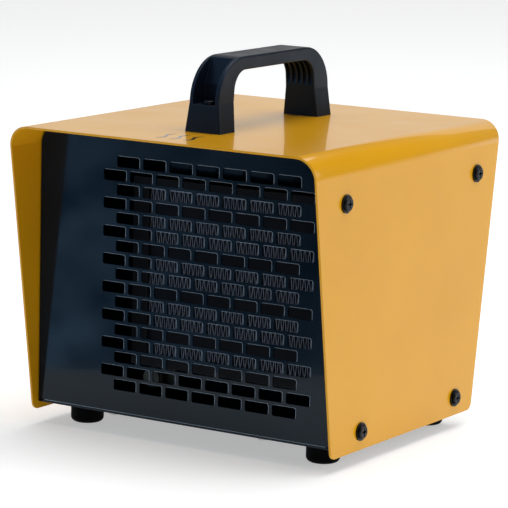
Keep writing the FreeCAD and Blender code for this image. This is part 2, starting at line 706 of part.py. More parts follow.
def make_front_panel():
    body = new_body("front_panel")
    face = sketch(body, "XZ", "front_face_outline", "front_face")
    rectangle(face, ("-" + PANEL_HALF, BASE_TOP), (PANEL_HALF, PANEL_TOP))
    pad(body, face, "panel_sheet", 1)
    soften(body, "front_corners", "panel_corner", edge_along("Y", z=PANEL_TOP))
    returns = sketch(body, "XY", "front_returns", "base_bottom + front_return_low")
    for side in ("-", ""):
        inner = "%s(%s - panel_sheet)" % (side, PANEL_HALF)
        outer = "%s%s" % (side, PANEL_HALF)
        rectangle(returns, (inner, "front_face"), (outer, "front_face + return_depth"))
    pad(body, returns, "front_return_height", 1)
    lip = sketch(body, "XY", "front_lip", BASE_TOP)
    rectangle(lip, ("-lip_half", "front_face"), ("lip_half", "front_face + lip_depth"))
    pad(body, lip, "panel_sheet", 1)
    soften(body, "front_side_bends", "panel_bend", edge_sides("Z", PANEL_HALF, y="front_face"))
    soften(body, "front_low_bend", "panel_bend", edge_along("X", y="front_face", z=BASE_TOP))
    holes = sketch(body, "YZ", "front_side_holes")
    circle(holes, SIDE_SCREWS[0], "screw_shank + clearance")
    pocket(body, holes)
    base_holes = sketch(body, "XY", "front_lip_holes")
    for across, along in BASE_SCREWS[:2]:
        circle(base_holes, (across, along), "base_screw_shank")
    pocket(body, base_holes)
    punch_bricks(body, "front_slot", "front_face", "grille_middle", "grille_top_row", FRONT_COLUMNS, FRONT_ROWS)


def make_rear_panel():
    body = new_body("rear_panel")
    face = sketch(body, "XZ", "rear_face_outline", REAR_INNER)
    rectangle(face, ("-" + PANEL_HALF, BASE_TOP), (PANEL_HALF, PANEL_TOP))
    pad(body, face, "panel_sheet", 1)
    soften(body, "rear_corners", "panel_corner", edge_along("Y", z=PANEL_TOP))
    returns = sketch(body, "XY", "rear_returns", "rear_return_low")
    for side in ("-", ""):
        inner = "%s(%s - panel_sheet)" % (side, PANEL_HALF)
        outer = "%s%s" % (side, PANEL_HALF)
        rectangle(returns, (inner, REAR_INNER), (outer, "%s + return_depth" % REAR_INNER))
    pad(body, returns, "rear_return_height", 1)
    lip = sketch(body, "XY", "rear_lip", BASE_TOP)
    rectangle(lip, ("-lip_half", "rear_face - lip_depth"), ("lip_half", "rear_face"))
    pad(body, lip, "panel_sheet", 1)
    soften(body, "rear_low_bend", "panel_bend", edge_along("X", y="rear_face", z=BASE_TOP))
    holes = sketch(body, "YZ", "rear_side_holes")
    circle(holes, SIDE_SCREWS[1], "screw_shank + clearance")
    pocket(body, holes)
    base_holes = sketch(body, "XY", "rear_lip_holes")
    for across, along in BASE_SCREWS[2:]:
        circle(base_holes, (across, along), "base_screw_shank")
    pocket(body, base_holes)
    control_holes = sketch(body, "XZ", "rear_control_holes")
    circle(control_holes, ("control_side", "thermostat_height"), "bushing_diameter + clearance")
    circle(control_holes, ("control_side", "selector_height"), "bushing_diameter + clearance")
    circle(control_holes, ("control_side", "gland_height"), "gland_thread + clearance")
    pocket(body, control_holes)
    top_row = "core_middle + %d / 2 * row_pitch" % (REAR_ROWS - 1)
    punch_bricks(body, "rear_slot", "rear_face", FAN_SIDE, top_row, REAR_COLUMNS, REAR_ROWS)


def make_base():
    body = new_body("base_plate")
    floor = sketch(body, "XY", "base_outline", "base_bottom")
    rectangle(floor, ("-" + PANEL_HALF, "front_face"), (PANEL_HALF, "rear_face + base_overhang"))
    pad(body, floor, "panel_sheet", 1)
    flanges = sketch(body, "XY", "base_flanges", "base_bottom")
    for side in ("-", ""):
        inner = "%s(%s - panel_sheet)" % (side, PANEL_HALF)
        low = (inner, "front_face + return_depth + flange_front_gap")
        rectangle(flanges, low, (side + PANEL_HALF, REAR_INNER + " - flange_rear_gap"))
    pad(body, flanges, "base_upstand", 1)
    soften(body, "base_bends", "panel_bend", edge_sides("Y", PANEL_HALF, z="base_bottom"))
    side_holes = sketch(body, "YZ", "base_side_holes")
    for spot in SIDE_SCREWS[2:]:
        circle(side_holes, spot, "screw_shank + clearance")
    pocket(body, side_holes)
    holes = sketch(body, "XY", "base_holes")
    for spot in FEET.values():
        circle(holes, spot, "screw_shank + clearance")
    for spot in BASE_SCREWS:
        circle(holes, spot, "base_screw_shank")
    pocket(body, holes)


def make_side_fasteners():
    screws, nuts = [], []
    for side, outward in (("", "+X"), ("-", "-X")):
        inward = OPPOSITE[outward[0]] + "X"
        for index, (along, height) in enumerate(SIDE_SCREWS):
            name = "side_screw_%s_%d" % ("right" if side == "" else "left", index)
            spot = (side + "cover_width / 2", along, height)
            screws.append(screw(name, spot, outward, "screw_head", "side_head_height", "screw_shank",
                                "side_screw_length", "screw_washer"))
            face = ("%s(%s - panel_sheet)" % (side, PANEL_HALF), along, height)
            nuts.append(ring(name.replace("screw", "nut"), "side_nut", "screw_shank", "side_nut_length", face, inward))
    group("side_screws", screws)
    group("side_nuts", nuts)


def make_base_screws():
    screws = []
    for index, (across, along) in enumerate(BASE_SCREWS):
        spot = (across, along, "base_bottom")
        screws.append(screw("base_screw_%d" % index, spot, "-Z", "base_screw_head", "base_head_height",
                            "base_screw_shank", "base_screw_length"))
    group("base_screws", screws)


def make_feet():
    screws, nuts = [], []
    for name, (across, along) in FEET.items():
        floor = (across, along, "0")
        blank = cylinder("foot_blank_" + name, "foot_diameter", "base_bottom", floor, "+Z")
        round_foot = rounded("foot_round_" + name, blank, "foot_round",
                             lambda edge: len(edge.Vertexes) == 1 and edge.Vertexes[0].Z < NEAR)
        recess = cylinder("foot_recess_" + name, "foot_recess", "foot_recess_depth", floor, "+Z")
        hole = cylinder("foot_hole_" + name, "screw_shank + clearance", "base_bottom", floor, "+Z")
        keep(cut("foot_" + name, round_foot, [recess, hole]), "foot_" + name)
        seat = (across, along, "foot_recess_depth")
        screws.append(screw("foot_screw_" + name, seat, "-Z", "screw_head", "foot_head_height",
                            "screw_shank", "foot_screw_length"))
        nuts.append(hex_nut("foot_nut_" + name, "screw_shank", (across, along, BASE_TOP), "+Z"))
    group("foot_screws", screws)
    group("foot_nuts", nuts)


# ---------------------------------------------------------------------------------------------
# Handle
# ---------------------------------------------------------------------------------------------
def make_handle():
    body = new_body("handle")
    top = "(cover_top + handle_height)"
    under = "(cover_top + handle_height - handle_grip)"
    over = top + " + handle_over"
    outline = sketch(body, "YZ", "handle_outline")
    foot, shoulder = "handle_length / 2", "(handle_length / 2 - handle_lean)"
    polygon(outline, [("-" + foot, "cover_top"), (foot, "cover_top"), (shoulder, top), ("-" + shoulder, top)])
    pad(body, outline, "handle_width")
    soften(body, "handle_outer", "handle_outer_round", edge_along("X", z=top))
    inner = sketch(body, "YZ", "handle_inner")
    foot, shoulder = "(handle_length / 2 - handle_leg)", "(handle_length / 2 - handle_leg - handle_inner_lean)"
    polygon(inner, [("-" + foot, "cover_top"), (foot, "cover_top"), (shoulder, under), ("-" + shoulder, under)])
    pocket(body, inner)
    soften(body, "handle_inner_corners", "handle_inner_round", edge_along("X", z=under))
    for name, side in (("left", "-"), ("right", "")):
        taper = sketch(body, "XZ", "handle_taper_" + name)
        wide, narrow = side + "handle_width / 2", side + "handle_grip_width / 2"
        beyond = side + "handle_width"
        neck = "cover_top + handle_neck"
        polygon(taper, [(wide, "cover_top"), (narrow, neck), (narrow, over), (beyond, over), (beyond, "cover_top")])
        pocket(body, taper)
    soften(body, "handle_long_edges", "handle_edge", handle_long_edge)
    for name, side in (("front", "-"), ("rear", "")):
        well = sketch(body, "YZ", "handle_well_" + name)
        back = "%s(handle_length / 2 - handle_leg + well_wall)" % side
        slope = "%s(handle_length / 2 - handle_leg + well_wall - well_slope)" % side
        beyond = "%s(handle_length / 2 + cut_margin)" % side
        polygon(well, [(beyond, "cover_top + well_floor"), (back, "cover_top + well_floor"),
                       (back, "cover_top + well_bend"), (slope, over), (beyond, over)])
        pocket(body, well, "well_width")
    make_handle_grooves(body, under)
    holes = sketch(body, "XY", "handle_holes")
    for side in ("-", ""):
        circle(holes, ("0", side + HANDLE_SCREW), "screw_shank + clearance")
    pocket(body, holes)


def handle_long_edge(edge):
    """The handle's long edges: neither on the cover, nor straight across the handle."""
    ends = [vertex.Point for vertex in edge.Vertexes]
    on_cover = all(end.z < number("cover_top") + NEAR for end in ends)
    across = abs(ends[0].x - ends[-1].x) > number("handle_grip_width / 2")
    neck = all(abs(end.z - number("cover_top + handle_neck")) < NEAR for end in ends)
    return not on_cover and not across and not neck


def make_handle_grooves(body, under):
    """Grooves that leave ribs under the grip and fade out down the legs' inner faces."""
    profile = sketch(body, "YZ", "handle_groove", "-rib_pitch * %d" % (GROOVES // 2))
    half = "(handle_length / 2 - handle_leg - rib_reach / 2)"
    low = ("-" + half, "cover_top + rib_low")
    high = (half, under + " + rib_depth")
    rounded_rectangle(profile, low, high, "(handle_inner_round + rib_round)")
    first = pocket(body, profile, "rib_groove")
    document.recompute()
    pattern = body.newObject("PartDesign::LinearPattern", "handle_groove_pattern")
    pattern.Originals = [first]
    pattern.Direction = (profile, ["N_Axis"])
    bind(pattern, Length="rib_pitch * %d" % (GROOVES - 1))
    pattern.Occurrences = GROOVES
    body.Tip = pattern


def make_handle_fasteners():
    screws, washers, nuts = [], [], []
    for name, side in (("front", "-"), ("rear", "")):
        along = side + HANDLE_SCREW
        seat = ("0", along, "cover_top + well_floor")
        screws.append(screw("handle_screw_" + name, seat, "+Z", "screw_head", "handle_head_height",
                            "screw_shank", "handle_screw_length"))
        under = ("0", along, INSIDE_TOP)
        washers.append(ring("handle_washer_" + name, "handle_washer", "screw_shank + clearance", "washer_sheet",
                            under, "-Z"))
        spot = ("0", along, INSIDE_TOP + " - washer_sheet")
        nuts.append(hex_nut("handle_nut_" + name, "screw_shank", spot, "-Z"))
    group("handle_screws", screws)
    group("handle_washers", washers)
    group("handle_nuts", nuts)


# ---------------------------------------------------------------------------------------------
# Ceramic core
# ---------------------------------------------------------------------------------------------
def module_middle(index):
    """Height of the middle of a heater module, counted from the top."""
    return "(core_middle + %s * %s)" % ((MODULES - 1) / 2 - index, MODULE_PITCH)


def around(name, ends, across, middle, up):
    """A box between two X ends, so deep and so high about the core's axis and a height."""
    low = (ends[0], "%s - (%s) / 2" % (CORE_AXIS, across), "%s - (%s) / 2" % (middle, up))
    high = (ends[1], "%s + (%s) / 2" % (CORE_AXIS, across), "%s + (%s) / 2" % (middle, up))
    return box(name, low, high)


TUBE_ENDS = ("core_left - tube_grip", "%s + tube_grip" % CORE_RIGHT)
TUBE_INSIDE = ("core_depth - 2 * tube_wall", "tube_height - 2 * tube_wall")
SLEEVE_INSIDE = ("core_depth - 2 * tube_wall - 2 * sleeve_wall", "tube_height - 2 * tube_wall - 2 * sleeve_wall")


def make_modules():
    sleeves, electrodes, stones = [], [], []
    for index in range(MODULES):
        middle = module_middle(index)
        number_name = index + 1
        outside = around("tube_outside_%d" % number_name, TUBE_ENDS, "core_depth", middle, "tube_height")
        hollow = around("tube_hollow_%d" % number_name, TUBE_ENDS, TUBE_INSIDE[0], middle, TUBE_INSIDE[1])
        name = "heater_tube_%d" % number_name
        keep(cut(name, outside, [hollow]), name)
        outer = around("sleeve_outside_%d" % number_name, TUBE_ENDS, TUBE_INSIDE[0], middle, TUBE_INSIDE[1])
        inner = around("sleeve_hollow_%d" % number_name, TUBE_ENDS, SLEEVE_INSIDE[0], middle, SLEEVE_INSIDE[1])
        sleeves.append(cut("sleeve_%d" % number_name, outer, [inner]))
        electrodes += make_electrodes(number_name, middle)
        stones += make_stones(number_name, middle)
    group("insulating_sleeves", sleeves)
    group("electrodes", electrodes)
    group("ceramic_stones", stones)


def make_electrodes(number_name, middle):
    """Two strips, over and under the stones, each with a tab out of the left end."""
    items = []
    for name, side in (("upper", "+"), ("lower", "-")):
        height = "(%s %s ((%s) / 2 - electrode_sheet / 2))" % (middle, side, SLEEVE_INSIDE[1])
        ends = ("core_left", "%s - electrode_short" % CORE_RIGHT)
        strip = around("electrode_%s_strip_%d" % (name, number_name), ends, "stone_depth", height,
                       "electrode_sheet")
        along = "%s %s tab_side" % (CORE_AXIS, side)
        low = ("core_left - electrode_tab", along + " - tab_width / 2", "%s - electrode_sheet / 2" % height)
        high = ("core_left + tab_overlap", along + " + tab_width / 2", "%s + electrode_sheet / 2" % height)
        tab = box("electrode_%s_tab_%d" % (name, number_name), low, high)
        items.append(fuse("electrode_%s_%d" % (name, number_name), [strip, tab]))
    return items


def make_stones(number_name, middle):
    items = []
    height = "%s - 2 * electrode_sheet" % SLEEVE_INSIDE[1]
    for index in range(STONES):
        start = "(core_left + stone_start + %d * (stone_length + stone_gap))" % index
        ends = (start, "%s + stone_length" % start)
        items.append(around("stone_%d_%d" % (number_name, index), ends, "stone_depth", middle, height))
    return items


def ribbon(points, thickness):
    """The closed outline of a strip of even thickness along a line of points."""
    sides = {1: [], -1: []}
    for index, point in enumerate(points):
        before = points[max(index - 1, 0)]
        after = points[min(index + 1, len(points) - 1)]
        normals = []
        for start, end in ((before, point), (point, after)):
            step = end.sub(start)
            if step.Length > 0:
                step.normalize()
                normals.append(Vector(-step.z, 0, step.x))
        mitre = normals[0] if len(normals) == 1 else normals[0].add(normals[1])
        scale = thickness / 2 if len(normals) == 1 else thickness / (mitre.Length ** 2)
        for side in sides:
            sides[side].append(point.add(mitre * (side * scale)))
    return sides[1] + sides[-1][::-1]


def make_fin_strips():
    """Corrugated strips, one over and one under each tube, each brazed to a thin backing plate."""
    half = number("fin_pitch") / 2
    thickness = number("fin_sheet")
    plate = number("fin_plate")
    left = number("core_left")
    depth = number("core_depth")
    front = number("core_front")
    length = number("core_length")
    folds = int((length - thickness) / half)
    for index in range(MODULES):
        pair = []
        middle = number(module_middle(index))
        for side in (1, -1):
            near = middle + side * number("tube_height / 2 + fin_sheet / 2")
            far = middle + side * (number("%s / 2" % MODULE_PITCH) - plate)
            points = []
            for fold in range(folds + 1):
                across = left + thickness / 2 + fold * half
                first, second = (near, far) if fold % 2 == 0 else (far, near)
                points.append(Vector(across, front, first))
                points.append(Vector(across, front, second))
            outline = ribbon(points, thickness)
            face = Part.Face(Part.makePolygon(outline + [outline[0]]))
            folded = face.extrude(Vector(0, depth, 0))
            low = far if side > 0 else far - plate
            backing = Part.makeBox(length, depth, plate, Vector(left, front, low))
            pair.append(folded.fuse(backing).removeSplitter())
        item = document.addObject("Part::Feature", "fin_strips_%d" % (index + 1))
        item.Shape = Part.makeCompound(pair)
        keep(item, "fin_strips_%d" % (index + 1))


def make_core_holders():
    """Two moulded end holders that grip the tubes, and two channel rails that close the core."""
    socket_ends = {
        "left": ("core_left - tube_grip", "core_left"),
        "right": (CORE_RIGHT, "%s + tube_grip" % CORE_RIGHT),
    }
    holder_ends = {
        "left": ("core_left - holder_length", "core_left"),
        "right": (CORE_RIGHT, "%s + holder_length" % CORE_RIGHT),
    }
    for side in ("left", "right"):
        low = (holder_ends[side][0], HOLDER_FRONT, CORE_LOW)
        high = (holder_ends[side][1], HOLDER_REAR, CORE_TOP)
        block = box("holder_block_" + side, low, high)
        tools = []
        for index in range(MODULES):
            middle = module_middle(index)
            name = "holder_%s_socket_%d" % (side, index)
            tools.append(around(name, socket_ends[side], "core_depth", middle, "tube_height"))
            if side == "left":
                name = "holder_window_%d" % index
                tools.append(around(name, holder_ends[side], TUBE_INSIDE[0], middle, TUBE_INSIDE[1]))
        for end, (height, toward) in enumerate(((CORE_TOP, "-Z"), (CORE_LOW, "+Z"))):
            across = "(%s + %s) / 2" % holder_ends[side]
            spot = (across, CORE_AXIS, height)
            tools.append(cylinder("holder_%s_bore_%d" % (side, end), "core_screw_shank", "core_screw_bore",
                                  spot, toward))
        keep(cut("core_holder_" + side, block, tools), "core_holder_" + side)
    screws = []
    for name, height, way in (("top", CORE_TOP, "+"), ("low", CORE_LOW, "-")):
        ends = ("core_left - holder_length", "%s + holder_length" % CORE_RIGHT)
        outer = "(%s %s rail_sheet)" % (height, way)
        rim = "(%s %s rail_lip)" % (height, way)
        bottom, top = (height, rim) if way == "+" else (rim, height)
        channel = box("rail_block_" + name, (ends[0], HOLDER_FRONT, bottom), (ends[1], HOLDER_REAR, top))
        bottom, top = (outer, rim) if way == "+" else (rim, outer)
        low = (ends[0], HOLDER_FRONT + " + rail_sheet", bottom)
        high = (ends[1], HOLDER_REAR + " - rail_sheet", top)
        tools = [box("rail_trough_" + name, low, high)]
        for side in ("left", "right"):
            across = "(%s + %s) / 2" % holder_ends[side]
            tools.append(cylinder("rail_%s_hole_%s" % (name, side), "core_screw_hole", "rail_sheet",
                                  (across, CORE_AXIS, height), way + "Z"))
            spot = (across, CORE_AXIS, outer)
            screws.append(screw("core_screw_%s_%s" % (name, side), spot, way + "Z", "core_screw_head",
                                "core_head_height", "core_screw_shank", "core_screw_length"))
        label = "core_rail_" + name
        keep(cut(label, channel, tools), label)
    group("core_screws", screws)


def make_thermal_cutout():
    """A round cutout on a small plate under the left end of the low rail."""
    across = "(core_left + cutout_side)"
    face = CORE_AXIS + " - cutout_plate_front"
    height = "(%s - rail_lip - cutout_drop)" % CORE_LOW
    plate_low = (across + " - cutout_plate_left", face, height + " - cutout_plate_low")
    plate_high = (across + " + cutout_plate_right", CORE_AXIS + " + cutout_plate_rear", "%s - rail_sheet" % CORE_LOW)
    plate = box("cutout_plate", plate_low, plate_high)
    can = cylinder("cutout_can", "cutout_can", "cutout_can_length", (across, face, height), "-Y")
    cap = cylinder("cutout_cap", "cutout_cap", "cutout_cap_length", (across, face, height), "-Y")
    keep(fuse("thermal_cutout", [plate, can, cap]), "thermal_cutout")


# ---------------------------------------------------------------------------------------------
# Air path, fan and motor
# ---------------------------------------------------------------------------------------------
def make_air_path():
    """The baffle round the core's back, the duct behind it and the fan's shroud."""
    low_x, high_x = "(core_left - holder_length)", "(%s + holder_length)" % CORE_RIGHT
    low_z, high_z = "(%s - rail_lip)" % CORE_LOW, "(%s + rail_lip)" % CORE_TOP
    outside = box("duct_outside", (low_x, HOLDER_REAR, low_z), (high_x, "shroud_face", high_z))
    low = (low_x + " + duct_sheet", HOLDER_REAR, low_z + " + duct_sheet")
    high = (high_x + " - duct_sheet", "shroud_face", high_z + " - duct_sheet")
    keep(cut("air_duct", outside, [box("duct_inside", low, high)]), "air_duct")

    half, under = PANEL_HALF + " - baffle_side_gap", "%s - baffle_top_gap" % PANEL_TOP
    back = HOLDER_REAR + " + duct_sheet"
    baffle = box("baffle_plate", ("-(%s)" % half, HOLDER_REAR, BASE_TOP), (half, back, under))
    baffle = rounded("baffle_corners", baffle, "baffle_corner", lambda edge: edge_top_corner(edge, number(half)))
    flange = box("baffle_flange", ("-baffle_flange_half", HOLDER_REAR, BASE_TOP),
                 ("baffle_flange_half", HOLDER_REAR + " + baffle_flange", BASE_TOP + " + duct_sheet"))
    window = box("baffle_window", (low_x, HOLDER_REAR, low_z), (high_x, back, high_z))
    keep(cut("core_baffle", fuse("baffle_solid", [baffle, flange]), [window]), "core_baffle")

    rear = "(shroud_face + shroud_sheet)"
    left = "core_left - shroud_left"
    plate = box("shroud_plate", (left, "shroud_face", BASE_TOP), ("shroud_right", rear, "shroud_top"))
    foot = box("shroud_foot", (left, rear, BASE_TOP),
               ("shroud_right", rear + " + shroud_foot", BASE_TOP + " + shroud_sheet"))
    axis = (FAN_SIDE, "shroud_face", "core_middle")
    collar = cylinder("shroud_ring", "fan_opening + 2 * collar_wall", "shroud_sheet + shroud_collar", axis, "+Y")
    bore = cylinder("shroud_bore", "fan_opening", "shroud_sheet + shroud_collar", axis, "+Y")
    keep(cut("fan_shroud", fuse("shroud_solid", [plate, foot, collar]), [bore]), "fan_shroud")


def edge_top_corner(edge, half):
    """The upper corners of a plate half that wide, along Y."""
    ends = [vertex.Point for vertex in edge.Vertexes]
    across_sheet = abs(ends[0].y - ends[-1].y) > SHORT_EDGE
    return across_sheet and abs(abs(ends[0].x) - half) < NEAR and ends[0].z > number("core_middle")


def blade(index):
    """One flat blade: a plate turned about its own radius, cut to the fan's disc."""
    item = document.addObject("Part::Box", "blade_%d" % index)
    reach = "(fan_diameter / 2 - blade_root)"
    bind(item, Length=reach, Width="blade_sheet", Height="blade_chord")
    turn = FreeCAD.Rotation(Vector(0, 1, 0), 360 / BLADES * index)
    lean = FreeCAD.Rotation(Vector(1, 0, 0), 90 - number("blade_pitch"))
    start = Vector(number("blade_root"), -number("blade_sheet") / 2, -number("blade_chord") / 2)
    centre = Vector(number(FAN_SIDE), number("fan_front + fan_depth / 2"), number("core_middle"))
    whole = turn.multiply(lean)
    item.Placement = FreeCAD.Placement(centre.add(whole.multVec(start)), whole)
    return item


def make_fan():
    axis = (FAN_SIDE, "fan_front", "core_middle")
    disc = cylinder("fan_disc", "fan_diameter", "fan_depth", axis, "+Y")
    wide = fuse("blades_whole", [blade(index) for index in range(BLADES)])
    trimmed = document.addObject("Part::MultiCommon", "blades_trimmed")
    trimmed.Shapes = [wide, disc]
    hub = cylinder("hub_blank", "hub_diameter", "fan_depth", axis, "+Y")
    whole = fuse("impeller_whole", [trimmed, hub])
    cup_start = (FAN_SIDE, "fan_front + hub_face", "core_middle")
    cup = ring("hub_cup", "hub_diameter - 2 * hub_wall", "hub_core", "fan_depth - hub_face", cup_start, "+Y")
    bore = cylinder("hub_bore", "shaft_diameter", "fan_depth", axis, "+Y")
    keep(cut("impeller", whole, [cup, bore]), "impeller")
    shaft_end = "(%s + bracket_post + bracket_sheet + shaft_rear)" % STATOR_REAR
    shaft_start = (FAN_SIDE, "fan_front - shaft_lead", "core_middle")
    shaft = cylinder("fan_shaft", "shaft_diameter", "%s - fan_front + shaft_lead" % shaft_end, shaft_start, "+Y")
    keep(shaft, "fan_shaft")
    rotor = ring("fan_rotor", "rotor_diameter", "shaft_diameter", "stator_depth",
                 (FAN_SIDE, STATOR_FRONT, "core_middle"), "+Y")
    keep(rotor, "fan_rotor")


def make_motor():
    front_bracket = "(strap_face + strap_sheet)"
    rear_bracket = "(%s + bracket_post)" % STATOR_REAR
    bolts = ["(%s %s bolt_offset)" % (FAN_SIDE, side) for side in "-+"]

    # laminated stator: a bore for the rotor, and a window over the bar that carries the coil
    low = (FAN_SIDE + " - stator_half", STATOR_FRONT, "core_middle - stator_low")
    high = (FAN_SIDE + " + stator_half", STATOR_REAR, "core_middle + stator_high")
    block = box("stator_block", low, high)
    bore = cylinder("stator_bore", "rotor_diameter + 2 * rotor_gap", "stator_depth",
                    (FAN_SIDE, STATOR_FRONT, "core_middle"), "+Y")
    window = box("stator_window", (FAN_SIDE + " - window_half", STATOR_FRONT, "core_middle - window_low"),
                 (FAN_SIDE + " + window_half", STATOR_REAR, "core_middle - window_high"))
    holes = [cylinder("stator_hole_%d" % index, "bolt_diameter", "stator_depth",
                      (across, STATOR_FRONT, "core_middle"), "+Y") for index, across in enumerate(bolts)]
    keep(cut("stator_core", block, [bore, window] + holes), "stator_core")
    left, right = FAN_SIDE + " - coil_half", FAN_SIDE + " + coil_half"
    wound = box("coil_block", (left, STATOR_FRONT + " - coil_build", "core_middle - coil_low"),
                (right, STATOR_REAR + " + coil_build", "core_middle - coil_high"))
    soft = rounded("coil_rounded", wound, "coil_round", edge_long_x)
    bar = box("coil_hole", (left, STATOR_FRONT, "core_middle - stator_low"),
              (right, STATOR_REAR, "core_middle - window_low"))
    keep(cut("stator_coil", soft, [bar]), "stator_coil")

    bearings = []
    for name, face, way in (("front", front_bracket, "-Y"), ("rear", rear_bracket, "+Y")):
        plate_rear = "%s + bracket_sheet" % face
        plate = box("bracket_plate_" + name, (FAN_SIDE + " - stator_half", face, "core_middle - bracket_half"),
                    (FAN_SIDE + " + stator_half", plate_rear, "core_middle + bracket_half"))
        seat = (FAN_SIDE, face if way == "-Y" else plate_rear, "core_middle")
        boss = cylinder("bracket_boss_" + name, "boss_diameter", "boss_length", seat, way)
        post_start = plate_rear if way == "-Y" else face
        post_way = "+Y" if way == "-Y" else "-Y"
        posts = [cylinder("bracket_post_%s_%d" % (name, index), "post_diameter", "bracket_post",
                          (across, post_start, "core_middle"), post_way) for index, across in enumerate(bolts)]
        bush_start = (FAN_SIDE, face if way == "+Y" else plate_rear, "core_middle")
        seat_bore = cylinder("bracket_seat_" + name, "bearing_diameter", "bracket_sheet + boss_length", bush_start, way)
        bolt_start = "(%s - bracket_post)" % face if way == "+Y" else face
        clear = [cylinder("bracket_hole_%s_%d" % (name, index), "bolt_diameter", "bracket_sheet + bracket_post",
                          (across, bolt_start, "core_middle"), "+Y") for index, across in enumerate(bolts)]
        label = "bearing_bracket_" + name
        keep(cut(label, fuse(label + "_solid", [plate, boss] + posts), [seat_bore] + clear), label)
        bearings.append(ring("bearing_" + name, "bearing_diameter", "shaft_diameter + 2 * running_gap",
                             "bracket_sheet + boss_length", bush_start, way))
    group("bearings", bearings)
    make_motor_strap(bolts)


def edge_long_x(edge):
    ends = [vertex.Point for vertex in edge.Vertexes]
    return len(ends) == 2 and abs(ends[0].x - ends[1].x) > LONG_EDGE


def make_motor_strap(bolts):
    """A strap across the shroud's collar that carries the motor, and the bolts through both."""
    strap_rear = "(strap_face + strap_sheet)"
    low_z, high_z = "core_middle - strap_width / 2", "core_middle + strap_width / 2"
    start = "(shroud_face + shroud_sheet)"
    pieces = [box("strap_bar", (FAN_SIDE + " - strap_reach", "strap_face", low_z),
                  (FAN_SIDE + " + strap_reach", strap_rear, high_z))]
    for name, side in (("left", "-"), ("right", "+")):
        edge = "(%s %s strap_reach)" % (FAN_SIDE, side)
        inner = "(%s %s (strap_reach - strap_sheet))" % (FAN_SIDE, side)
        toe = "(%s %s (strap_reach + strap_toe))" % (FAN_SIDE, side)
        ends = (edge, inner) if side == "-" else (inner, edge)
        pieces.append(box("strap_leg_" + name, (ends[0], start, low_z), (ends[1], strap_rear, high_z)))
        ends = (toe, inner) if side == "-" else (inner, toe)
        pieces.append(box("strap_toe_" + name, (ends[0], start, low_z), (ends[1], start + " + strap_sheet", high_z)))
    tools = [cylinder("strap_centre", "strap_hole", "strap_sheet", (FAN_SIDE, "strap_face", "core_middle"), "+Y")]
    for index, across in enumerate(bolts):
        tools.append(cylinder("strap_hole_%d" % index, "bolt_diameter + clearance", "strap_sheet",
                              (across, "strap_face", "core_middle"), "+Y"))
    keep(cut("motor_strap", fuse("strap_solid", pieces), tools), "motor_strap")
    items = []
    for index, across in enumerate(bolts):
        spot = (across, "strap_face", "core_middle")
        items.append(screw("motor_bolt_%d" % index, spot, "-Y", "bolt_head", "bolt_head_height", "bolt_diameter",
                           "bolt_length"))
    group("motor_bolts", items)
    rear = "(%s + bracket_post + bracket_sheet)" % STATOR_REAR
    nuts = [hex_nut("motor_nut_%d" % index, "bolt_diameter", (across, rear, "core_middle"), "+Y",
                    "bolt_nut_hex", "bolt_nut_height") for index, across in enumerate(bolts)]
    group("motor_nuts", nuts)


# ---------------------------------------------------------------------------------------------
# Controls, cable gland and terminals
# ---------------------------------------------------------------------------------------------
def make_control(name, height):
    """A rotary control behind the rear panel: its body and bushing, spindle and knob."""
    half_up = name + "_half"
    low = ("control_side - control_half", "%s - %s_depth" % (REAR_INNER, name), "%s - %s" % (height, half_up))
    high = ("control_side + control_half", REAR_INNER, "%s + %s" % (height, half_up))
    case = box(name + "_case", low, high)
    seat = ("control_side", REAR_INNER, height)
    bushing = cylinder(name + "_bushing", "bushing_diameter", "panel_sheet + bushing_length", seat, "+Y")
    tabs = []
    for index, (across, up) in enumerate((("-", "-"), ("+", "-"), ("-", "+"), ("+", "+"))):
        lug_x = "control_side %s lug_side" % across
        lug_z = "%s %s lug_up" % (height, up)
        start = (lug_x + " - lug_width / 2", low[1] + " - lug_length", lug_z + " - lug_sheet / 2")
        end = (lug_x + " + lug_width / 2", low[1] + " + lug_root", lug_z + " + lug_sheet / 2")
        tabs.append(box("%s_tab_%d" % (name, index), start, end))
    inner_end = ("control_side", REAR_INNER + " - spindle_inside - spindle_play", height)
    bore = cylinder(name + "_bore", "spindle_diameter + 2 * running_gap",
                    "spindle_inside + spindle_play + panel_sheet + bushing_length", inner_end, "+Y")
    keep(cut(name + "_body", fuse(name + "_solid", [case, bushing] + tabs), [bore]), name + "_body")

    tip = "(%s + knob_disc + knob_grip - knob_cover)" % KNOB_FRONT
    start = ("control_side", REAR_INNER + " - spindle_inside", height)
    length = "%s - %s + spindle_inside" % (tip, REAR_INNER)
    spindle = cylinder(name + "_spindle", "spindle_diameter", length, start, "+Y")
    keep(spindle, name + "_spindle")
    make_knob(name, height, tip)


def make_knob(name, height, tip):
    front = ("control_side", KNOB_FRONT, height)
    disc = cylinder(name + "_disc", "knob_diameter", "knob_disc", front, "+Y")
    top = "(%s + knob_disc)" % KNOB_FRONT
    grip = box(name + "_grip", ("control_side - grip_half", top, "%s - knob_diameter / 2 + grip_inset" % height),
               ("control_side + grip_half", "%s + knob_grip" % top, "%s + knob_diameter / 2 - grip_inset" % height))
    solid = rounded(name + "_grip_round", grip, "grip_round", edge_upright)
    recess = cylinder(name + "_recess", "knob_recess", "knob_disc - knob_face", front, "+Y")
    bore = cylinder(name + "_knob_bore", "spindle_diameter", "%s - %s" % (tip, KNOB_FRONT), front, "+Y")
    keep(cut(name + "_knob", fuse(name + "_knob_solid", [disc, solid]), [recess, bore]), name + "_knob")


def edge_upright(edge):
    ends = [vertex.Point for vertex in edge.Vertexes]
    along_y = abs(ends[0].y - ends[-1].y) > LONG_EDGE
    far = min(end.y for end in ends) > number("%s + knob_disc + knob_grip" % KNOB_FRONT) - NEAR
    return len(ends) == 2 and (along_y or far)


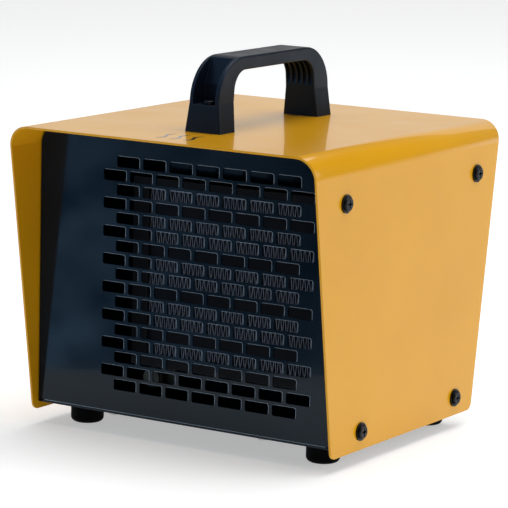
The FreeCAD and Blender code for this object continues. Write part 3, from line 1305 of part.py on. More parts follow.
def make_control_nuts():
    nuts = []
    for name, height in (("thermostat", "thermostat_height"), ("selector", "selector_height")):
        spot = ("control_side", "rear_face", height)
        nuts.append(hex_nut(name + "_nut", "bushing_diameter", spot, "+Y", "control_nut_hex",
                            "control_nut_height"))
    group("control_nuts", nuts)


def make_gland():
    axis = ("control_side", "rear_face", "gland_height")
    inner_end = ("control_side", "rear_face - gland_barrel", "gland_height")
    flange = hexagon("gland_flange", "gland_hex", "gland_flange", axis, "+Y")
    barrel = cylinder("gland_barrel", "gland_thread", "gland_barrel", inner_end, "+Y")
    neck = cylinder("gland_neck", "gland_neck", "gland_neck_length", axis, "+Y")
    bore = cylinder("gland_body_bore", "gland_bore", "gland_barrel + gland_neck_length", inner_end, "+Y")
    keep(cut("gland_body", fuse("gland_solid", [flange, barrel, neck]), [bore]), "gland_body")
    cap_start = ("control_side", GLAND_CAP_START, "gland_height")
    cap = cylinder("gland_cap_blank", "gland_cap", "gland_cap_length", cap_start, "+Y")
    rim = number("%s + gland_cap_length" % GLAND_CAP_START)
    dome = rounded("gland_cap_dome", cap, "gland_cap_round",
                   lambda edge: len(edge.Vertexes) == 1 and abs(edge.Vertexes[0].Y - rim) < NEAR)
    inside = cylinder("gland_cap_inside", "gland_neck", "gland_neck_length - gland_flange - gland_gap", cap_start, "+Y")
    hole = cylinder("gland_cap_bore", "gland_bore", "gland_cap_length", cap_start, "+Y")
    keep(cut("gland_cap", dome, [inside, hole]), "gland_cap")
    keep(hex_nut("gland_locknut", "gland_thread", ("control_side", REAR_INNER, "gland_height"), "-Y",
                 "gland_hex", "gland_nut_height"), "gland_locknut")


def make_terminals():
    """A three-way terminal block on the base, under the controls."""
    top = BASE_TOP + " + terminal_height"
    low = ("control_side - terminal_half", "terminal_front", BASE_TOP)
    high = ("control_side + terminal_half", "terminal_front + terminal_depth", top)
    block = box("terminal_base", low, high)
    tools, screws = [], []
    for index in range(TERMINAL_WAYS):
        across = "(control_side + %s * terminal_pitch)" % (index - (TERMINAL_WAYS - 1) / 2)
        mouth = (across, "terminal_front", BASE_TOP + " + terminal_way_up")
        tools.append(cylinder("terminal_way_%d" % index, "terminal_way", "terminal_depth", mouth, "+Y"))
        for end, along in enumerate(("terminal_inset", "terminal_depth - terminal_inset")):
            seat = (across, "terminal_front + " + along, top)
            tools.append(cylinder("terminal_bore_%d_%d" % (index, end), "terminal_shank", "terminal_bore_depth",
                                  seat, "-Z"))
            name = "terminal_screw_%d_%d" % (index, end)
            screws.append(screw(name, seat, "+Z", "terminal_head", "terminal_head_height", "terminal_shank",
                                "terminal_screw_length"))
    keep(cut("terminal_block", block, tools), "terminal_block")
    group("terminal_screws", screws)


# ---------------------------------------------------------------------------------------------
# Build, check and write
# ---------------------------------------------------------------------------------------------
def build():
    make_cover()
    make_front_panel()
    make_rear_panel()
    make_base()
    make_side_fasteners()
    make_base_screws()
    make_feet()
    make_handle()
    make_handle_fasteners()
    make_modules()
    make_fin_strips()
    make_core_holders()
    make_thermal_cutout()
    make_air_path()
    make_fan()
    make_motor()
    make_control("thermostat", "thermostat_height")
    make_control("selector", "selector_height")
    make_control_nuts()
    make_gland()
    make_terminals()
    document.recompute()


def check():
    for item in document.Objects:
        if "Invalid" in item.State or "Error" in item.State:
            raise RuntimeError("%s did not recompute: %s" % (item.Name, item.State))
    for item in nodes:
        if item.Shape.isNull() or not item.Shape.isValid():
            raise RuntimeError("%s has no valid shape" % item.Label)
        print("%-22s solids %d volume %10.1f" % (item.Label, len(item.Shape.Solids), item.Shape.Volume))


def write():
    os.makedirs("parts", exist_ok=True)
    for item in nodes:
        item.Shape.exportStep(os.path.join("parts", item.Label + ".step"))


build()
check()
write()
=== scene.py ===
"""Looks of a portable ceramic space heater: camera, light, paint, plastic, fins and printed marks."""

import itertools
import json
import math

import bmesh
import bpy
from mathutils import Matrix, Vector


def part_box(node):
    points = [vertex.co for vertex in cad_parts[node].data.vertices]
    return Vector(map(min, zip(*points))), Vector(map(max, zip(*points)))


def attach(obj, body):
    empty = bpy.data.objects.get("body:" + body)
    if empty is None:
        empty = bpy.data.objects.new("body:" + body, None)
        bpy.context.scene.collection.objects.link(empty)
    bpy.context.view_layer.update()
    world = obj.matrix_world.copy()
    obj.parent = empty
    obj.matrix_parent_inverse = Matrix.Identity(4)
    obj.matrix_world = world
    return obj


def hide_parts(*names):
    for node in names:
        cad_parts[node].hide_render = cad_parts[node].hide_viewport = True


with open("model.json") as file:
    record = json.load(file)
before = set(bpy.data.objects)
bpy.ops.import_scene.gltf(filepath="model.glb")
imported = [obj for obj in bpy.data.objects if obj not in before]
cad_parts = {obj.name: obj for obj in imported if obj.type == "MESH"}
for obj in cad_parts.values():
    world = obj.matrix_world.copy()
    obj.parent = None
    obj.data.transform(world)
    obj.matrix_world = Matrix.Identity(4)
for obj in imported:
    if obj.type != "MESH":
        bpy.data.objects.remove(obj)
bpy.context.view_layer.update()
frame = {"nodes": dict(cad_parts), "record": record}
NODES = frame["nodes"]
MM = 0.001


# ---------------------------------------------------------------------------------------------
# Camera, light and floor
# ---------------------------------------------------------------------------------------------

VIEW_AZIMUTH = math.radians(32.16)  # the camera stands this far to the right of straight ahead
VIEW_ELEVATION = math.radians(9.95)
VIEW_ROLL = math.radians(1.36)
VIEW_DISTANCE = 1.7107
VIEW_LENS = 211.5
VIEW_REACH = 100
AIM = Vector((-0.0012, -0.0009, 0.0995))  # the point in the middle of the picture


def camera_axes():
    """The camera's right, up and backward directions."""
    flat = math.cos(VIEW_ELEVATION)
    back = Vector((math.sin(VIEW_AZIMUTH) * flat, -math.cos(VIEW_AZIMUTH) * flat, math.sin(VIEW_ELEVATION)))
    right = Vector((0, 0, 1)).cross(back).normalized()
    up = back.cross(right)
    turn = Matrix.Rotation(VIEW_ROLL, 3, back)
    return turn @ right, turn @ up, back


def make_camera():
    right, up, back = camera_axes()
    data = bpy.data.cameras.new("camera")
    data.lens = VIEW_LENS
    data.clip_end = VIEW_REACH
    camera = bpy.data.objects.new("camera", data)
    rotation = Matrix((right, up, back)).transposed().to_4x4()
    camera.matrix_world = Matrix.Translation(AIM + back * VIEW_DISTANCE) @ rotation
    bpy.context.collection.objects.link(camera)
    bpy.context.scene.camera = camera


def softbox(name, place, aim, width, height, power, color=(1, 1, 1)):
    """A rectangular light aimed at a point, not seen by the camera itself."""
    data = bpy.data.lights.new(name, "AREA")
    data.shape = "RECTANGLE"
    data.size, data.size_y = width, height
    data.energy = power
    data.color = color
    light = bpy.data.objects.new(name, data)
    light.location = place
    light.rotation_euler = (Vector(aim) - Vector(place)).to_track_quat("-Z", "Y").to_euler()
    light.visible_camera = False
    bpy.context.collection.objects.link(light)


WORLD_COLOR = (0.86, 0.93, 1, 1)
WORLD_STRENGTH = 0.16


def make_studio():
    """A faint cool surround, a warm key light on the right, one light overhead and one behind."""
    world = bpy.data.worlds.new("studio")
    world.use_nodes = True
    background = world.node_tree.nodes["Background"]
    background.inputs["Color"].default_value = WORLD_COLOR
    background.inputs["Strength"].default_value = WORLD_STRENGTH
    bpy.context.scene.world = world
    bpy.context.scene.view_settings.view_transform = "Standard"
    softbox("key", (2.3, 0.7, 1.0), (0, 0, 0.1), 1.6, 1.6, 18, (1, 0.98, 0.95))
    softbox("overhead", (0.2, 0.4, 2.6), (0, 0, 0.1), 2.4, 2.4, 64)
    softbox("back", (-1.9, 3.2, 0.95), (0, 0, 0.3), 4.2, 1.7, 14, (1, 0.96, 0.9))


FLOOR_REACH = 20.0


def make_floor():
    mesh = bpy.data.meshes.new("floor")
    corners = [(x * FLOOR_REACH, y * FLOOR_REACH, 0) for x, y in ((-1, -1), (1, -1), (1, 1), (-1, 1))]
    mesh.from_pydata(corners, [], [(0, 1, 2, 3)])
    floor = bpy.data.objects.new("floor", mesh)
    bpy.context.collection.objects.link(floor)
    mesh.materials.append(floor_paper())


CARD_AZIMUTH = math.radians(-32)  # where the camera's line of sight goes after the front panel
CARD_DISTANCE = 0.2
CARD_HALF_WIDTH = 0.19
CARD_HEIGHT = 0.9
CARD_DARK = (0.03, 0.06, 0.1)
CARD_LIGHT = (0.16, 0.25, 0.36)
CARD_PATCH = 0.03
CARD_GLOW = (4.8, 1.6)  # its strength at the left and at the right of the span below
CARD_GLOW_SPAN = (-0.18, -0.08)


def make_reflection_card():
    """A dark studio card that only reflections see: without it the front panel mirrors the white floor."""
    ahead = Vector((math.sin(CARD_AZIMUTH), -math.cos(CARD_AZIMUTH), 0))
    aside = ahead.cross(Vector((0, 0, 1))) * CARD_HALF_WIDTH
    foot = Vector((0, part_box("front_panel")[0][1], 0)) + ahead * CARD_DISTANCE
    rise = Vector((0, 0, CARD_HEIGHT))
    mesh = bpy.data.meshes.new("reflection_card")
    mesh.from_pydata([foot - aside, foot + aside, foot + aside + rise, foot - aside + rise], [], [(0, 1, 2, 3)])
    card = bpy.data.objects.new("reflection_card", mesh)
    bpy.context.collection.objects.link(card)
    item = Finish("reflection_card")
    patches = item.spread(item.noise(CARD_PATCH, 4), 0, 1, 0.35, 0.65)
    item.link(item.blend(patches, CARD_DARK, CARD_LIGHT), item.shader.inputs["Emission Color"])
    across = item.node("ShaderNodeSeparateXYZ")
    item.link(item.place, across.inputs["Vector"])
    glow = item.spread(across.outputs["X"], *CARD_GLOW, *CARD_GLOW_SPAN)
    item.link(glow, item.shader.inputs["Emission Strength"])
    item.put(Base_Color=(0, 0, 0), Roughness=1.0, Specular_IOR_Level=0.0)
    mesh.materials.append(item.material)
    for name in ("visible_camera", "visible_diffuse", "visible_shadow", "visible_transmission"):
        setattr(card, name, False)


# ---------------------------------------------------------------------------------------------
# Materials
# ---------------------------------------------------------------------------------------------


EDGE_ROUNDING = 0.0004  # metres, in shading only


class Finish:
    """A material under construction: one Principled shader and the nodes that drive it."""

    def __init__(self, name):
        self.material = bpy.data.materials.new(name)
        self.material.use_nodes = True
        self.tree = self.material.node_tree
        self.shader = self.tree.nodes["Principled BSDF"]
        self.place = self.node("ShaderNodeTexCoord").outputs["Object"]

    def node(self, kind, **settings):
        item = self.tree.nodes.new(kind)
        for key, value in settings.items():
            setattr(item, key, value)
        return item

    def link(self, source, target):
        self.tree.links.new(source, target)

    def put(self, **values):
        """Constant values for the shader's own sockets, named with underscores."""
        for key, value in values.items():
            socket = self.shader.inputs[key.replace("_", " ")]
            socket.default_value = (*value, 1) if isinstance(value, tuple) and len(value) == 3 else value

    def noise(self, size, detail=2.0, stretch=(1, 1, 1)):
        """Noise whose lumps are about size metres across."""
        shape = self.node("ShaderNodeMapping")
        self.link(self.place, shape.inputs["Vector"])
        shape.inputs["Scale"].default_value = stretch
        noise = self.node("ShaderNodeTexNoise")
        self.link(shape.outputs["Vector"], noise.inputs["Vector"])
        noise.inputs["Scale"].default_value = 1 / size
        noise.inputs["Detail"].default_value = detail
        return noise.outputs["Fac"]

    def spread(self, source, low, high, start=0.3, end=0.7):
        """The source, from start to end, mapped to low to high."""
        item = self.node("ShaderNodeMapRange")
        self.link(source, item.inputs["Value"])
        for key, value in (("From Min", start), ("From Max", end), ("To Min", low), ("To Max", high)):
            item.inputs[key].default_value = value
        return item.outputs["Result"]

    def blend(self, factor, first, second):
        """A colour between two, each a colour or another node's output."""
        item = self.node("ShaderNodeMix", data_type="RGBA")
        self.link(factor, item.inputs["Factor"])
        for key, value in (("A", first), ("B", second)):
            socket = [found for found in item.inputs if found.name == key and found.type == "RGBA"][0]
            if isinstance(value, tuple):
                socket.default_value = (*value, 1)
            else:
                self.link(value, socket)
        return [found for found in item.outputs if found.type == "RGBA"][0]

    def edges(self, radius, start=0.02, end=0.25):
        """1 on sharp edges and 0 on flat faces."""
        bevel = self.node("ShaderNodeBevel", samples=4)
        bevel.inputs["Radius"].default_value = radius
        flat = self.node("ShaderNodeNewGeometry")
        dot = self.node("ShaderNodeVectorMath", operation="DOT_PRODUCT")
        self.link(bevel.outputs["Normal"], dot.inputs[0])
        self.link(flat.outputs["Normal"], dot.inputs[1])
        return self.spread(dot.outputs["Value"], 0, 1, 1 - start, 1 - end)

    def color(self, source):
        self.link(source, self.shader.inputs["Base Color"])

    def roughness(self, source):
        self.link(source, self.shader.inputs["Roughness"])

    def bump(self, *layers, rounding=None):
        """Bumps from (height source, depth in metres) layers, over edges rounded in shading only."""
        normal = None
        if rounding:
            bevel = self.node("ShaderNodeBevel", samples=4)
            bevel.inputs["Radius"].default_value = rounding
            normal = bevel.outputs["Normal"]
        for source, depth in layers:
            item = self.node("ShaderNodeBump")
            item.inputs["Distance"].default_value = depth
            self.link(source, item.inputs["Height"])
            if normal is not None:
                self.link(normal, item.inputs["Normal"])
            normal = item.outputs["Normal"]
        self.link(normal, self.shader.inputs["Normal"])


def floor_paper():
    item = Finish("floor_paper")
    item.put(Base_Color=(0.8, 0.8, 0.8), Roughness=0.9, Specular_IOR_Level=0.1)
    item.put(Emission_Color=(1, 1, 1), Emission_Strength=0.42)
    return item.material


def yellow_paint():
    item = Finish("yellow_paint")
    tone = item.spread(item.noise(0.09, 3), 0, 1)
    item.color(item.blend(tone, (0.70, 0.33, 0.003), (0.75, 0.365, 0.004)))
    item.roughness(item.spread(item.noise(0.035, 4), 0.28, 0.36))
    item.put(Coat_Weight=0.5, Coat_Roughness=0.045, Specular_IOR_Level=0.1)
    item.bump((item.noise(0.0028, 1), 0.000008), rounding=EDGE_ROUNDING)
    return item.material


# Painted highlight: the light colour given to slot rims that face left and down, standing in for the light they
# reflect.
SLOT_RIM_HIGHLIGHT_COLOR = (0.34, 0.43, 0.54)
SLOT_RIM_RADIUS = 0.6 * MM
SLOT_RIM_SIDE = (-0.9, 0, -0.6)  # only rims that face this way, left and down, get the painted highlight
SLOT_RIM_FADE = (0.15, 0.35)  # from none to all, by how far a rim turns that way
SLOT_FRONT_FADE = (0.2, 0.3)  # and by how far it still turns to the front or the back
SLOTS_HALF_WIDTH = 94 * MM


def slot_rims(item):
    """1 on the rounded rims of a punched sheet's slots that face left and down, where a highlight is painted,
    and 0 elsewhere.
    """
    bevel = item.node("ShaderNodeBevel", samples=8)
    bevel.inputs["Radius"].default_value = SLOT_RIM_RADIUS
    normal = bevel.outputs["Normal"]
    side = item.node("ShaderNodeVectorMath", operation="DOT_PRODUCT")
    item.link(normal, side.inputs[0])
    side.inputs[1].default_value = SLOT_RIM_SIDE
    parts = item.node("ShaderNodeSeparateXYZ")
    item.link(normal, parts.inputs["Vector"])
    facing = item.node("ShaderNodeMath", operation="ABSOLUTE")
    item.link(parts.outputs["Y"], facing.inputs[0])
    place = item.node("ShaderNodeSeparateXYZ")
    item.link(item.place, place.inputs["Vector"])
    inside = item.node("ShaderNodeMath", operation="COMPARE")
    item.link(place.outputs["X"], inside.inputs[0])
    inside.inputs[1].default_value = 0
    inside.inputs[2].default_value = SLOTS_HALF_WIDTH
    mask = item.spread(side.outputs["Value"], 0, 1, *SLOT_RIM_FADE)
    for other in (item.spread(facing.outputs["Value"], 0, 1, *SLOT_FRONT_FADE), inside.outputs["Value"]):
        product = item.node("ShaderNodeMath", operation="MULTIPLY")
        item.link(mask, product.inputs[0])
        item.link(other, product.inputs[1])
        mask = product.outputs["Value"]
    return mask


def black_paint(name="black_paint", punched=False):
    """Glossy black paint with orange peel, with a painted highlight on the rims of a punched sheet's slots."""
    item = Finish(name)
    tone = item.spread(item.noise(0.06, 3), 0, 1)
    # The faint blue of this black is a painted reflection of the cool surround.
    base = item.blend(tone, (0.0012, 0.004, 0.008), (0.0022, 0.007, 0.014))
    item.color(item.blend(slot_rims(item), base, SLOT_RIM_HIGHLIGHT_COLOR) if punched else base)
    item.roughness(item.spread(item.noise(0.03, 4), 0.10, 0.16))
    item.put(Specular_IOR_Level=0.2, Specular_Tint=(0.7, 0.87, 1), Coat_Weight=0.12, Coat_Roughness=0.03)
    item.bump((item.noise(0.0022, 2), 0.00002))
    return item.material


PLASTIC_RIM = 0.0012
PLASTIC_GRAIN = 0.0005
PLASTIC_GRAIN_DEPTH = 0.00002


def moulded_plastic(name, color, lighter, roughness, specular=0.5, tint=(1, 1, 1)):
    """Grained plastic, or dull black metal, lighter on its sharp edges."""
    item = Finish(name)
    rim = item.edges(PLASTIC_RIM)
    tone = item.spread(item.noise(0.03, 4), 0, 1)
    base = item.blend(tone, color, tuple(0.8 * part + 0.2 * other for part, other in zip(color, lighter)))
    item.color(item.blend(rim, base, lighter))
    item.roughness(item.spread(item.noise(0.012, 4), roughness - 0.05, roughness + 0.05))
    item.put(Specular_IOR_Level=specular, Specular_Tint=tint)
    item.bump((item.noise(PLASTIC_GRAIN, 2), PLASTIC_GRAIN_DEPTH), (item.noise(0.015, 2), 0.00004),
              rounding=EDGE_ROUNDING)
    return item.material


METAL_GRAIN_DEPTH = 0.000004


def metal(name, color, darker, roughness, brushed=None):
    """Plated or bare metal, its grain drawn out along one axis when brushed gives that axis."""
    item = Finish(name)
    stretch = [1, 1, 1]
    if brushed is not None:
        stretch[brushed] = 0.04
    grain = item.noise(0.0006, 3, tuple(stretch))
    item.color(item.blend(item.spread(item.noise(0.012, 4), 0, 1), darker, color))
    item.roughness(item.spread(grain, roughness - 0.08, roughness + 0.08))
    item.put(Metallic=1.0)
    item.bump((grain, METAL_GRAIN_DEPTH), rounding=EDGE_ROUNDING / 2)
    return item.material


def rubber():
    item = Finish("rubber")
    worn = item.spread(item.noise(0.004, 5), 0, 1, 0.45, 0.75)
    item.color(item.blend(worn, (0.0008, 0.0008, 0.001), (0.003, 0.003, 0.0035)))
    item.put(Specular_IOR_Level=0.06)
    item.roughness(item.spread(item.noise(0.002, 3), 0.6, 0.8))
    item.bump((item.noise(0.0008, 3), 0.00005), rounding=EDGE_ROUNDING)
    return item.material


def copper_wire():
    item = Finish("copper_wire")
    turns = item.node("ShaderNodeTexWave", wave_type="BANDS", bands_direction="Z")
    item.link(item.place, turns.inputs["Vector"])
    turns.inputs["Scale"].default_value = 500
    item.color(item.blend(turns.outputs["Fac"], (0.16, 0.035, 0.01), (0.45, 0.13, 0.04)))
    item.put(Roughness=0.3, Metallic=0.6, Coat_Weight=0.6)
    item.bump((turns.outputs["Fac"], 0.0003))
    return item.material


def lamination_steel():
    item = Finish("lamination_steel")
    sheets = item.node("ShaderNodeTexWave", wave_type="BANDS", bands_direction="Y")
    item.link(item.place, sheets.inputs["Vector"])
    sheets.inputs["Scale"].default_value = 620
    item.color(item.blend(sheets.outputs["Fac"], (0.05, 0.05, 0.055), (0.25, 0.25, 0.26)))
    item.put(Roughness=0.45, Metallic=0.9)
    item.bump((sheets.outputs["Fac"], 0.00012))
    return item.material


def ceramic():
    item = Finish("ceramic")
    speck = item.spread(item.noise(0.0012, 5), 0, 1, 0.35, 0.7)
    item.color(item.blend(speck, (0.05, 0.05, 0.052), (0.11, 0.11, 0.11)))
    item.put(Roughness=0.85)
    item.bump((item.noise(0.0009, 4), 0.00006), rounding=0.0003)
    return item.material


def amber_film():
    item = Finish("amber_film")
    item.color(item.blend(item.spread(item.noise(0.01, 3), 0, 1), (0.36, 0.13, 0.012), (0.48, 0.2, 0.02)))
    item.put(Roughness=0.22, Coat_Weight=0.4)
    item.bump((item.noise(0.004, 3, (0.1, 1, 1)), 0.00008))
    return item.material


def fin_aluminium():
    item = Finish("fin_aluminium")
    item.color(item.blend(item.spread(item.noise(0.002, 4), 0, 1), (0.14, 0.17, 0.23), (0.3, 0.35, 0.45)))
    item.roughness(item.spread(item.noise(0.001, 3), 0.35, 0.55))
    item.put(Metallic=0.3)
    item.bump((item.noise(0.0006, 2), 0.00002))
    return item.material


def fin_face():
    """The sheets of the fins between their cut edges, near black as painted shade for the shadow between the
    folds.
    """
    item = Finish("fin_face")
    item.color(item.blend(item.spread(item.noise(0.003, 4), 0, 1), (0.008, 0.009, 0.012), (0.02, 0.022, 0.028)))
    item.put(Roughness=0.6, Specular_IOR_Level=0.15)
    item.bump((item.noise(0.0012, 2), 0.00004))
    return item.material


def print_white():
    item = Finish("print_white")
    worn = item.spread(item.noise(0.0015, 4), 0, 1, 0.3, 0.5)
    item.color(item.blend(worn, (0.5, 0.51, 0.5), (0.78, 0.79, 0.77)))
    item.put(Roughness=0.5)
    return item.material


def print_black():
    item = Finish("print_black")
    item.color(item.blend(item.spread(item.noise(0.002, 3), 0, 1), (0.012, 0.011, 0.01), (0.02, 0.018, 0.016)))
    item.put(Roughness=0.3, Coat_Weight=0.7, Coat_Roughness=0.05)
    return item.material


def dull_can():
    """The thermal cutout's can, darkened as painted shade: it sits in shadow behind the front panel."""
    return metal("dull_can", (0.09, 0.09, 0.08), (0.05, 0.05, 0.045), 0.5, brushed=0)


def make_finishes():
    """One material for each of the record's slots."""
    return {
        "yellow_paint": yellow_paint(),
        "black_paint": black_paint(),
        "black_screw": metal("black_screw", (0.028, 0.03, 0.034), (0.014, 0.015, 0.018), 0.36),
        "zinc_steel": metal("zinc_steel", (0.62, 0.62, 0.6), (0.45, 0.46, 0.46), 0.34),
        "black_steel": moulded_plastic("black_steel", (0.005, 0.006, 0.008), (0.03, 0.032, 0.04), 0.45,
                                       specular=0.1),
        "bright_steel": metal("bright_steel", (0.68, 0.68, 0.68), (0.55, 0.55, 0.56), 0.22, brushed=0),
        "lamination_steel": lamination_steel(),
        # Near black, much darker than bare aluminium: painted shade for the heater tubes, which lie in shadow
        # among the fins.
        "black_aluminium": moulded_plastic("black_aluminium", (0.004, 0.005, 0.008), (0.02, 0.022, 0.03), 0.5,
                                           specular=0.08),
        "fin_aluminium": fin_aluminium(),
        "electrode_brass": metal("electrode_brass", (0.72, 0.5, 0.2), (0.55, 0.36, 0.13), 0.3, brushed=0),
        "bronze": metal("bronze", (0.55, 0.34, 0.15), (0.4, 0.23, 0.1), 0.4),
        "copper_wire": copper_wire(),
        "amber_film": amber_film(),
        "ceramic": ceramic(),
        "rubber": rubber(),
        # Blue-black plastic; its blue, in base, edges and specular tint, is partly a painted reflection of the
        # cool light on the grip.
        "handle_plastic": moulded_plastic("handle_plastic", (0.002, 0.004, 0.01), (0.012, 0.022, 0.045), 0.42,
                                          specular=0.3, tint=(0.62, 0.8, 1)),
        "holder_plastic": moulded_plastic("holder_plastic", (0.004, 0.0045, 0.006), (0.02, 0.022, 0.026), 0.6,
                                          specular=0.08),
        "fan_plastic": moulded_plastic("fan_plastic", (0.02, 0.02, 0.022), (0.07, 0.07, 0.075), 0.4),
        "control_plastic": moulded_plastic("control_plastic", (0.4, 0.36, 0.28), (0.52, 0.48, 0.4), 0.5),
        "knob_plastic": moulded_plastic("knob_plastic", (0.008, 0.008, 0.009), (0.045, 0.045, 0.05), 0.3),
        "gland_plastic": moulded_plastic("gland_plastic", (0.014, 0.014, 0.015), (0.05, 0.05, 0.05), 0.45),
        "terminal_plastic": moulded_plastic("terminal_plastic", (0.62, 0.62, 0.57), (0.75, 0.75, 0.7), 0.45),
    }


def paint_nodes(finishes):
    """Gives every CAD node the material of its slot."""
    for part in frame["record"]["subparts"]:
        mesh = NODES[part["node"]].data
        mesh.materials.clear()
        mesh.materials.append(finishes[part["material_slot"]])


# ---------------------------------------------------------------------------------------------
# Pieces
# ---------------------------------------------------------------------------------------------


def add_piece(name, bm, materials, body="heater"):
    """Turns a bmesh into an object that rides on a body."""
    mesh = bpy.data.meshes.new(name)
    bm.normal_update()
    bm.to_mesh(mesh)
    bm.free()
    for item in materials:
        mesh.materials.append(item)
    piece = bpy.data.objects.new(name, mesh)
    bpy.context.collection.objects.link(piece)
    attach(piece, body)
    return piece


FIN_SHEET = 0.28 * MM
FIN_PLATE = 0.6 * MM
FIN_SPACING = 1.48 * MM  # between neighbouring sheets of a strip
FIN_LEAN = 0.32 * MM  # each sheet leans this far either way, so that the folds look like a zigzag
FIN_UNEVENNESS = 0.16 * MM
HEAD_SEED = 5  # sets the unevenness of the upper ends apart from that of the lower ends
BEND_STEPS = 6


def wander(index, seed):
    """A number from -1 to 1 that looks irregular but is the same in every run."""
    return math.sin(index * 12.9898 + seed * 78.233) * math.cos(index * 4.1414 + seed * 3.7)


def serpentine(left, right, near, far, seed):
    """The middle line of a folded strip, with rounded bends, as (x, z) points."""
    radius = FIN_SPACING / 2
    count = int((right - left - FIN_SHEET - 2 * FIN_LEAN) / FIN_SPACING)
    low, high = sorted((near, far))
    line = []
    for index in range(count):
        rise = 1 if index % 2 == 0 else -1
        across = left + FIN_SHEET / 2 + FIN_LEAN + index * FIN_SPACING
        lean = rise * FIN_LEAN
        foot = Vector((across - lean + wander(index, seed) * FIN_UNEVENNESS, low + radius))
        head = Vector((across + lean + wander(index, seed + HEAD_SEED) * FIN_UNEVENNESS, high - radius))
        start, end = (foot, head) if rise > 0 else (head, foot)
        line += [start, end]
        if index == count - 1:
            break
        unevenness = wander(index + 1, seed + HEAD_SEED if rise > 0 else seed) * FIN_UNEVENNESS
        following = across + FIN_SPACING - FIN_LEAN + unevenness
        half = (following - end.x) / 2
        for step in range(1, BEND_STEPS):
            angle = math.pi * (1 - step / BEND_STEPS)
            line.append(Vector((end.x + half + half * math.cos(angle), end.y + rise * radius * math.sin(angle))))
    return line


def add_strip(bm, line, front, back):
    """A strip of even thickness along a line of (x, z) points; its cut edges get material 1."""
    rings = []
    for index, point in enumerate(line):
        before, after = line[max(index - 1, 0)], line[min(index + 1, len(line) - 1)]
        along = (after - before).normalized()
        side = Vector((-along.y, along.x)) * (FIN_SHEET / 2)
        corners = [(point + side, front), (point - side, front), (point - side, back), (point + side, back)]
        rings.append([bm.verts.new((flat.x, depth, flat.y)) for flat, depth in corners])
    for ring, following in zip(rings, rings[1:]):
        for corner in range(4):
            other = (corner + 1) % 4
            face = bm.faces.new((ring[corner], ring[other], following[other], following[corner]))
            face.material_index = 1 if corner in (0, 2) else 0
            face.smooth = corner in (1, 3)
    bm.faces.new(rings[0][::-1])
    bm.faces.new(rings[-1])


def add_box(bm, low, high, material=0):
    """A closed box between two corners."""
    places = itertools.product(*zip(low, high))
    corners = [bm.verts.new(place) for place in places]
    for face in ((0, 1, 3, 2), (4, 6, 7, 5), (0, 4, 5, 1), (2, 3, 7, 6), (0, 2, 6, 4), (1, 5, 7, 3)):
        bm.faces.new([corners[index] for index in face]).material_index = material


def make_fins(finishes):
    """Folded strips with round bends over and under each tube."""
    # The sheets take the painted shade; their cut edges take the lighter fin aluminium.
    sheet = fin_face()
    for index in range(1, 5):
        low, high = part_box("fin_strips_%d" % index)
        tube_low, tube_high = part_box("heater_tube_%d" % index)
        bm = bmesh.new()
        sides = ((tube_high[2], high[2] - FIN_PLATE, high[2]), (tube_low[2], low[2] + FIN_PLATE, low[2]))
        for seed, (near, far, plate) in enumerate(sides):
            inset = FIN_SHEET / 2 if far > near else -FIN_SHEET / 2
            line = serpentine(low[0], high[0], near + inset, far - inset, index * 2 + seed)
            add_strip(bm, line, low[1], high[1])
            add_box(bm, (low[0], low[1], min(far, plate)), (high[0], high[1], max(far, plate)), material=1)
        bmesh.ops.recalc_face_normals(bm, faces=bm.faces)
        piece = add_piece("fins_%d" % index, bm, [sheet, finishes["fin_aluminium"]])
        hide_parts("fin_strips_%d" % index)


PRINT_HEIGHT = 0.06 * MM
ARC_STEP = math.radians(5)


def print_flat(bm, outline, place):
    """A closed patch of print: the outline's (across, up) points, put where place() says."""
    under = [bm.verts.new(place(across, up, 0)) for across, up in outline]
    over = [bm.verts.new(place(across, up, PRINT_HEIGHT)) for across, up in outline]
    bm.faces.new(under[::-1])
    bm.faces.new(over)
    for index, corner in enumerate(under):
        other = (index + 1) % len(under)
        bm.faces.new((corner, under[other], over[other], over[index]))


NUT_HEIGHT = 2.5 * MM  # the control nuts stand this far out of the rear panel


def rear_place(centre_x, centre_z):
    """Places (right, up) as seen from behind on the rear panel, around a control's axis."""
    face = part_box("control_nuts")[1][1] - NUT_HEIGHT
    return lambda right, up, out: (centre_x - right, face + out, centre_z + up)


SCALE_RADIUS = 18.2 * MM
SCALE_DASH = 0.86  # of each step is printed
SCALE_COOL = 0.3 * MM  # the band's width where it starts
SCALE_GROWTH = 1.7 * MM  # and what it gains by its end
THERMOSTAT_TURN = math.radians(270)
SELECTOR_TURN = math.radians(180)
SELECTOR_STEPS = 3
NUMBER_SIZE = 4.8 * MM
NUMBER_OFFSET = 2.4 * MM


def on_circle(radius, turn):
    """The point that far round clockwise from the top."""
    return radius * math.sin(turn), radius * math.cos(turn)


def make_thermostat_scale(ink):
    """A band that grows round the knob from cool to warm."""
    low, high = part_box("thermostat_knob")
    place = rear_place((low[0] + high[0]) / 2, (low[2] + high[2]) / 2)
    bm = bmesh.new()
    for index in range(int(THERMOSTAT_TURN / ARC_STEP)):
        start, end = index * ARC_STEP, (index + SCALE_DASH) * ARC_STEP
        widths = [SCALE_COOL + SCALE_GROWTH * turn / THERMOSTAT_TURN for turn in (start, end)]
        outline = [on_circle(SCALE_RADIUS, start), on_circle(SCALE_RADIUS + widths[0], start),
                   on_circle(SCALE_RADIUS + widths[1], end), on_circle(SCALE_RADIUS, end)]
        print_flat(bm, outline, place)
    bmesh.ops.recalc_face_normals(bm, faces=bm.faces)
    add_piece("thermostat_scale", bm, [ink])


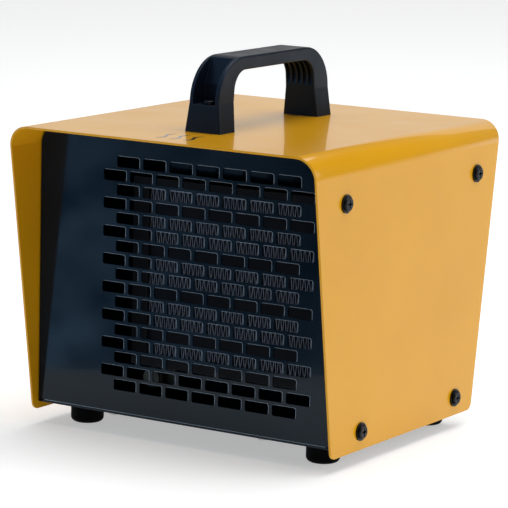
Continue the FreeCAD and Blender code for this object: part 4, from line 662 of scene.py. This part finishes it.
def make_selector_numbers(ink):
    """0 to 3 round the selector's half turn."""
    low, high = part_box("selector_knob")
    place = rear_place((low[0] + high[0]) / 2, (low[2] + high[2]) / 2)
    bm = bmesh.new()
    for number in range(SELECTOR_STEPS + 1):
        turn = SELECTOR_TURN * number / SELECTOR_STEPS
        data = bpy.data.curves.new("number_%d" % number, "FONT")
        data.body = str(number)
        data.size = NUMBER_SIZE
        data.align_x, data.align_y = "CENTER", "CENTER"
        text = bpy.data.objects.new("number_%d" % number, data)
        mesh = bpy.data.meshes.new_from_object(text)
        right, up = on_circle(SCALE_RADIUS + NUMBER_OFFSET, turn)
        for corner in mesh.vertices:
            corner.co = place(right + corner.co.x, up + corner.co.y, PRINT_HEIGHT)
        bm.from_mesh(mesh)
        bpy.data.objects.remove(text)
        bpy.data.meshes.remove(mesh)
    add_piece("selector_numbers", bm, [ink])


POINTER_HALF_WIDTH = 0.6 * MM
POINTER_START = 4.5 * MM
POINTER_END = 12.5 * MM


def make_knob_pointers(ink):
    """A white line let into the upper half of each knob's grip."""
    for name in ("thermostat", "selector"):
        low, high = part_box(name + "_knob")
        centre_x, centre_z = (low[0] + high[0]) / 2, (low[2] + high[2]) / 2
        half, start, end = POINTER_HALF_WIDTH, POINTER_START, POINTER_END
        outline = [(-half, start), (half, start), (half, end - half), (0, end), (-half, end - half)]
        bm = bmesh.new()
        print_flat(bm, outline, lambda right, up, out: (centre_x - right, high[1] + out, centre_z + up))
        bmesh.ops.recalc_face_normals(bm, faces=bm.faces)
        add_piece(name + "_pointer", bm, [ink], body=name + "_dial")


WAVE_LENGTH = 20 * MM
WAVE_SWING = 1.7 * MM
WAVE_LINE = 2 * MM
WAVE_GAP = 9 * MM
WAVE_AHEAD = 22 * MM  # from the handle's front to the middle of the mark
WAVE_STEPS = 16
WAVE_BLUNTNESS = 0.15  # keeps the lines' ends from coming to a point


def make_heat_mark(ink):
    """Three plain wavy lines printed on the top, in front of the handle."""
    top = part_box("cover")[1][2]
    handle_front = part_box("handle")[0][1]
    bm = bmesh.new()
    for line in (-1, 0, 1):
        left, right = [], []
        for step in range(WAVE_STEPS + 1):
            share = step / WAVE_STEPS
            along = WAVE_LENGTH * (share - 0.5)
            middle = line * WAVE_GAP + WAVE_SWING * math.sin(2 * math.pi * share)
            taper = WAVE_LINE / 2 * math.sqrt(max(WAVE_BLUNTNESS, 1 - abs(2 * share - 1) ** 4))
            left.append((middle - taper, along))
            right.append((middle + taper, along))
        outline = left + right[::-1]
        print_flat(bm, outline, lambda across, up, out: (across, handle_front - WAVE_AHEAD + up, top + out))
    bmesh.ops.recalc_face_normals(bm, faces=bm.faces)
    add_piece("heat_mark", bm, [ink])


SHARP = math.radians(35)
PUNCHED_ROUNDING = 0.45 * MM
COVER_ROUNDING = 0.3 * MM
WELD_REACH = 0.01 * MM


def soften_sheet(node, width):
    """Rounds a sheet part's sharp edges, as punching and paint leave them."""
    item = NODES[node]
    weld = item.modifiers.new("weld", "WELD")
    weld.merge_threshold = WELD_REACH
    bevel = item.modifiers.new("bevel", "BEVEL")
    bevel.limit_method = "ANGLE"
    bevel.angle_limit = SHARP
    bevel.width = width
    bevel.segments = 2
    bevel.use_clamp_overlap = True


make_camera()
make_studio()
make_floor()
make_reflection_card()
finishes = make_finishes()
paint_nodes(finishes)
make_fins(finishes)
# The cutout's can gets the darkened metal, as painted shade.
NODES["thermal_cutout"].data.materials[0] = dull_can()
# The punched panels get the painted highlight on their slot rims.
punched = black_paint("punched_sheet", punched=True)
for node in ("front_panel", "rear_panel"):
    NODES[node].data.materials[0] = punched
    soften_sheet(node, PUNCHED_ROUNDING)
soften_sheet("cover", COVER_ROUNDING)
white, black = print_white(), print_black()
make_thermostat_scale(white)
make_selector_numbers(white)
make_knob_pointers(white)
make_heat_mark(black)
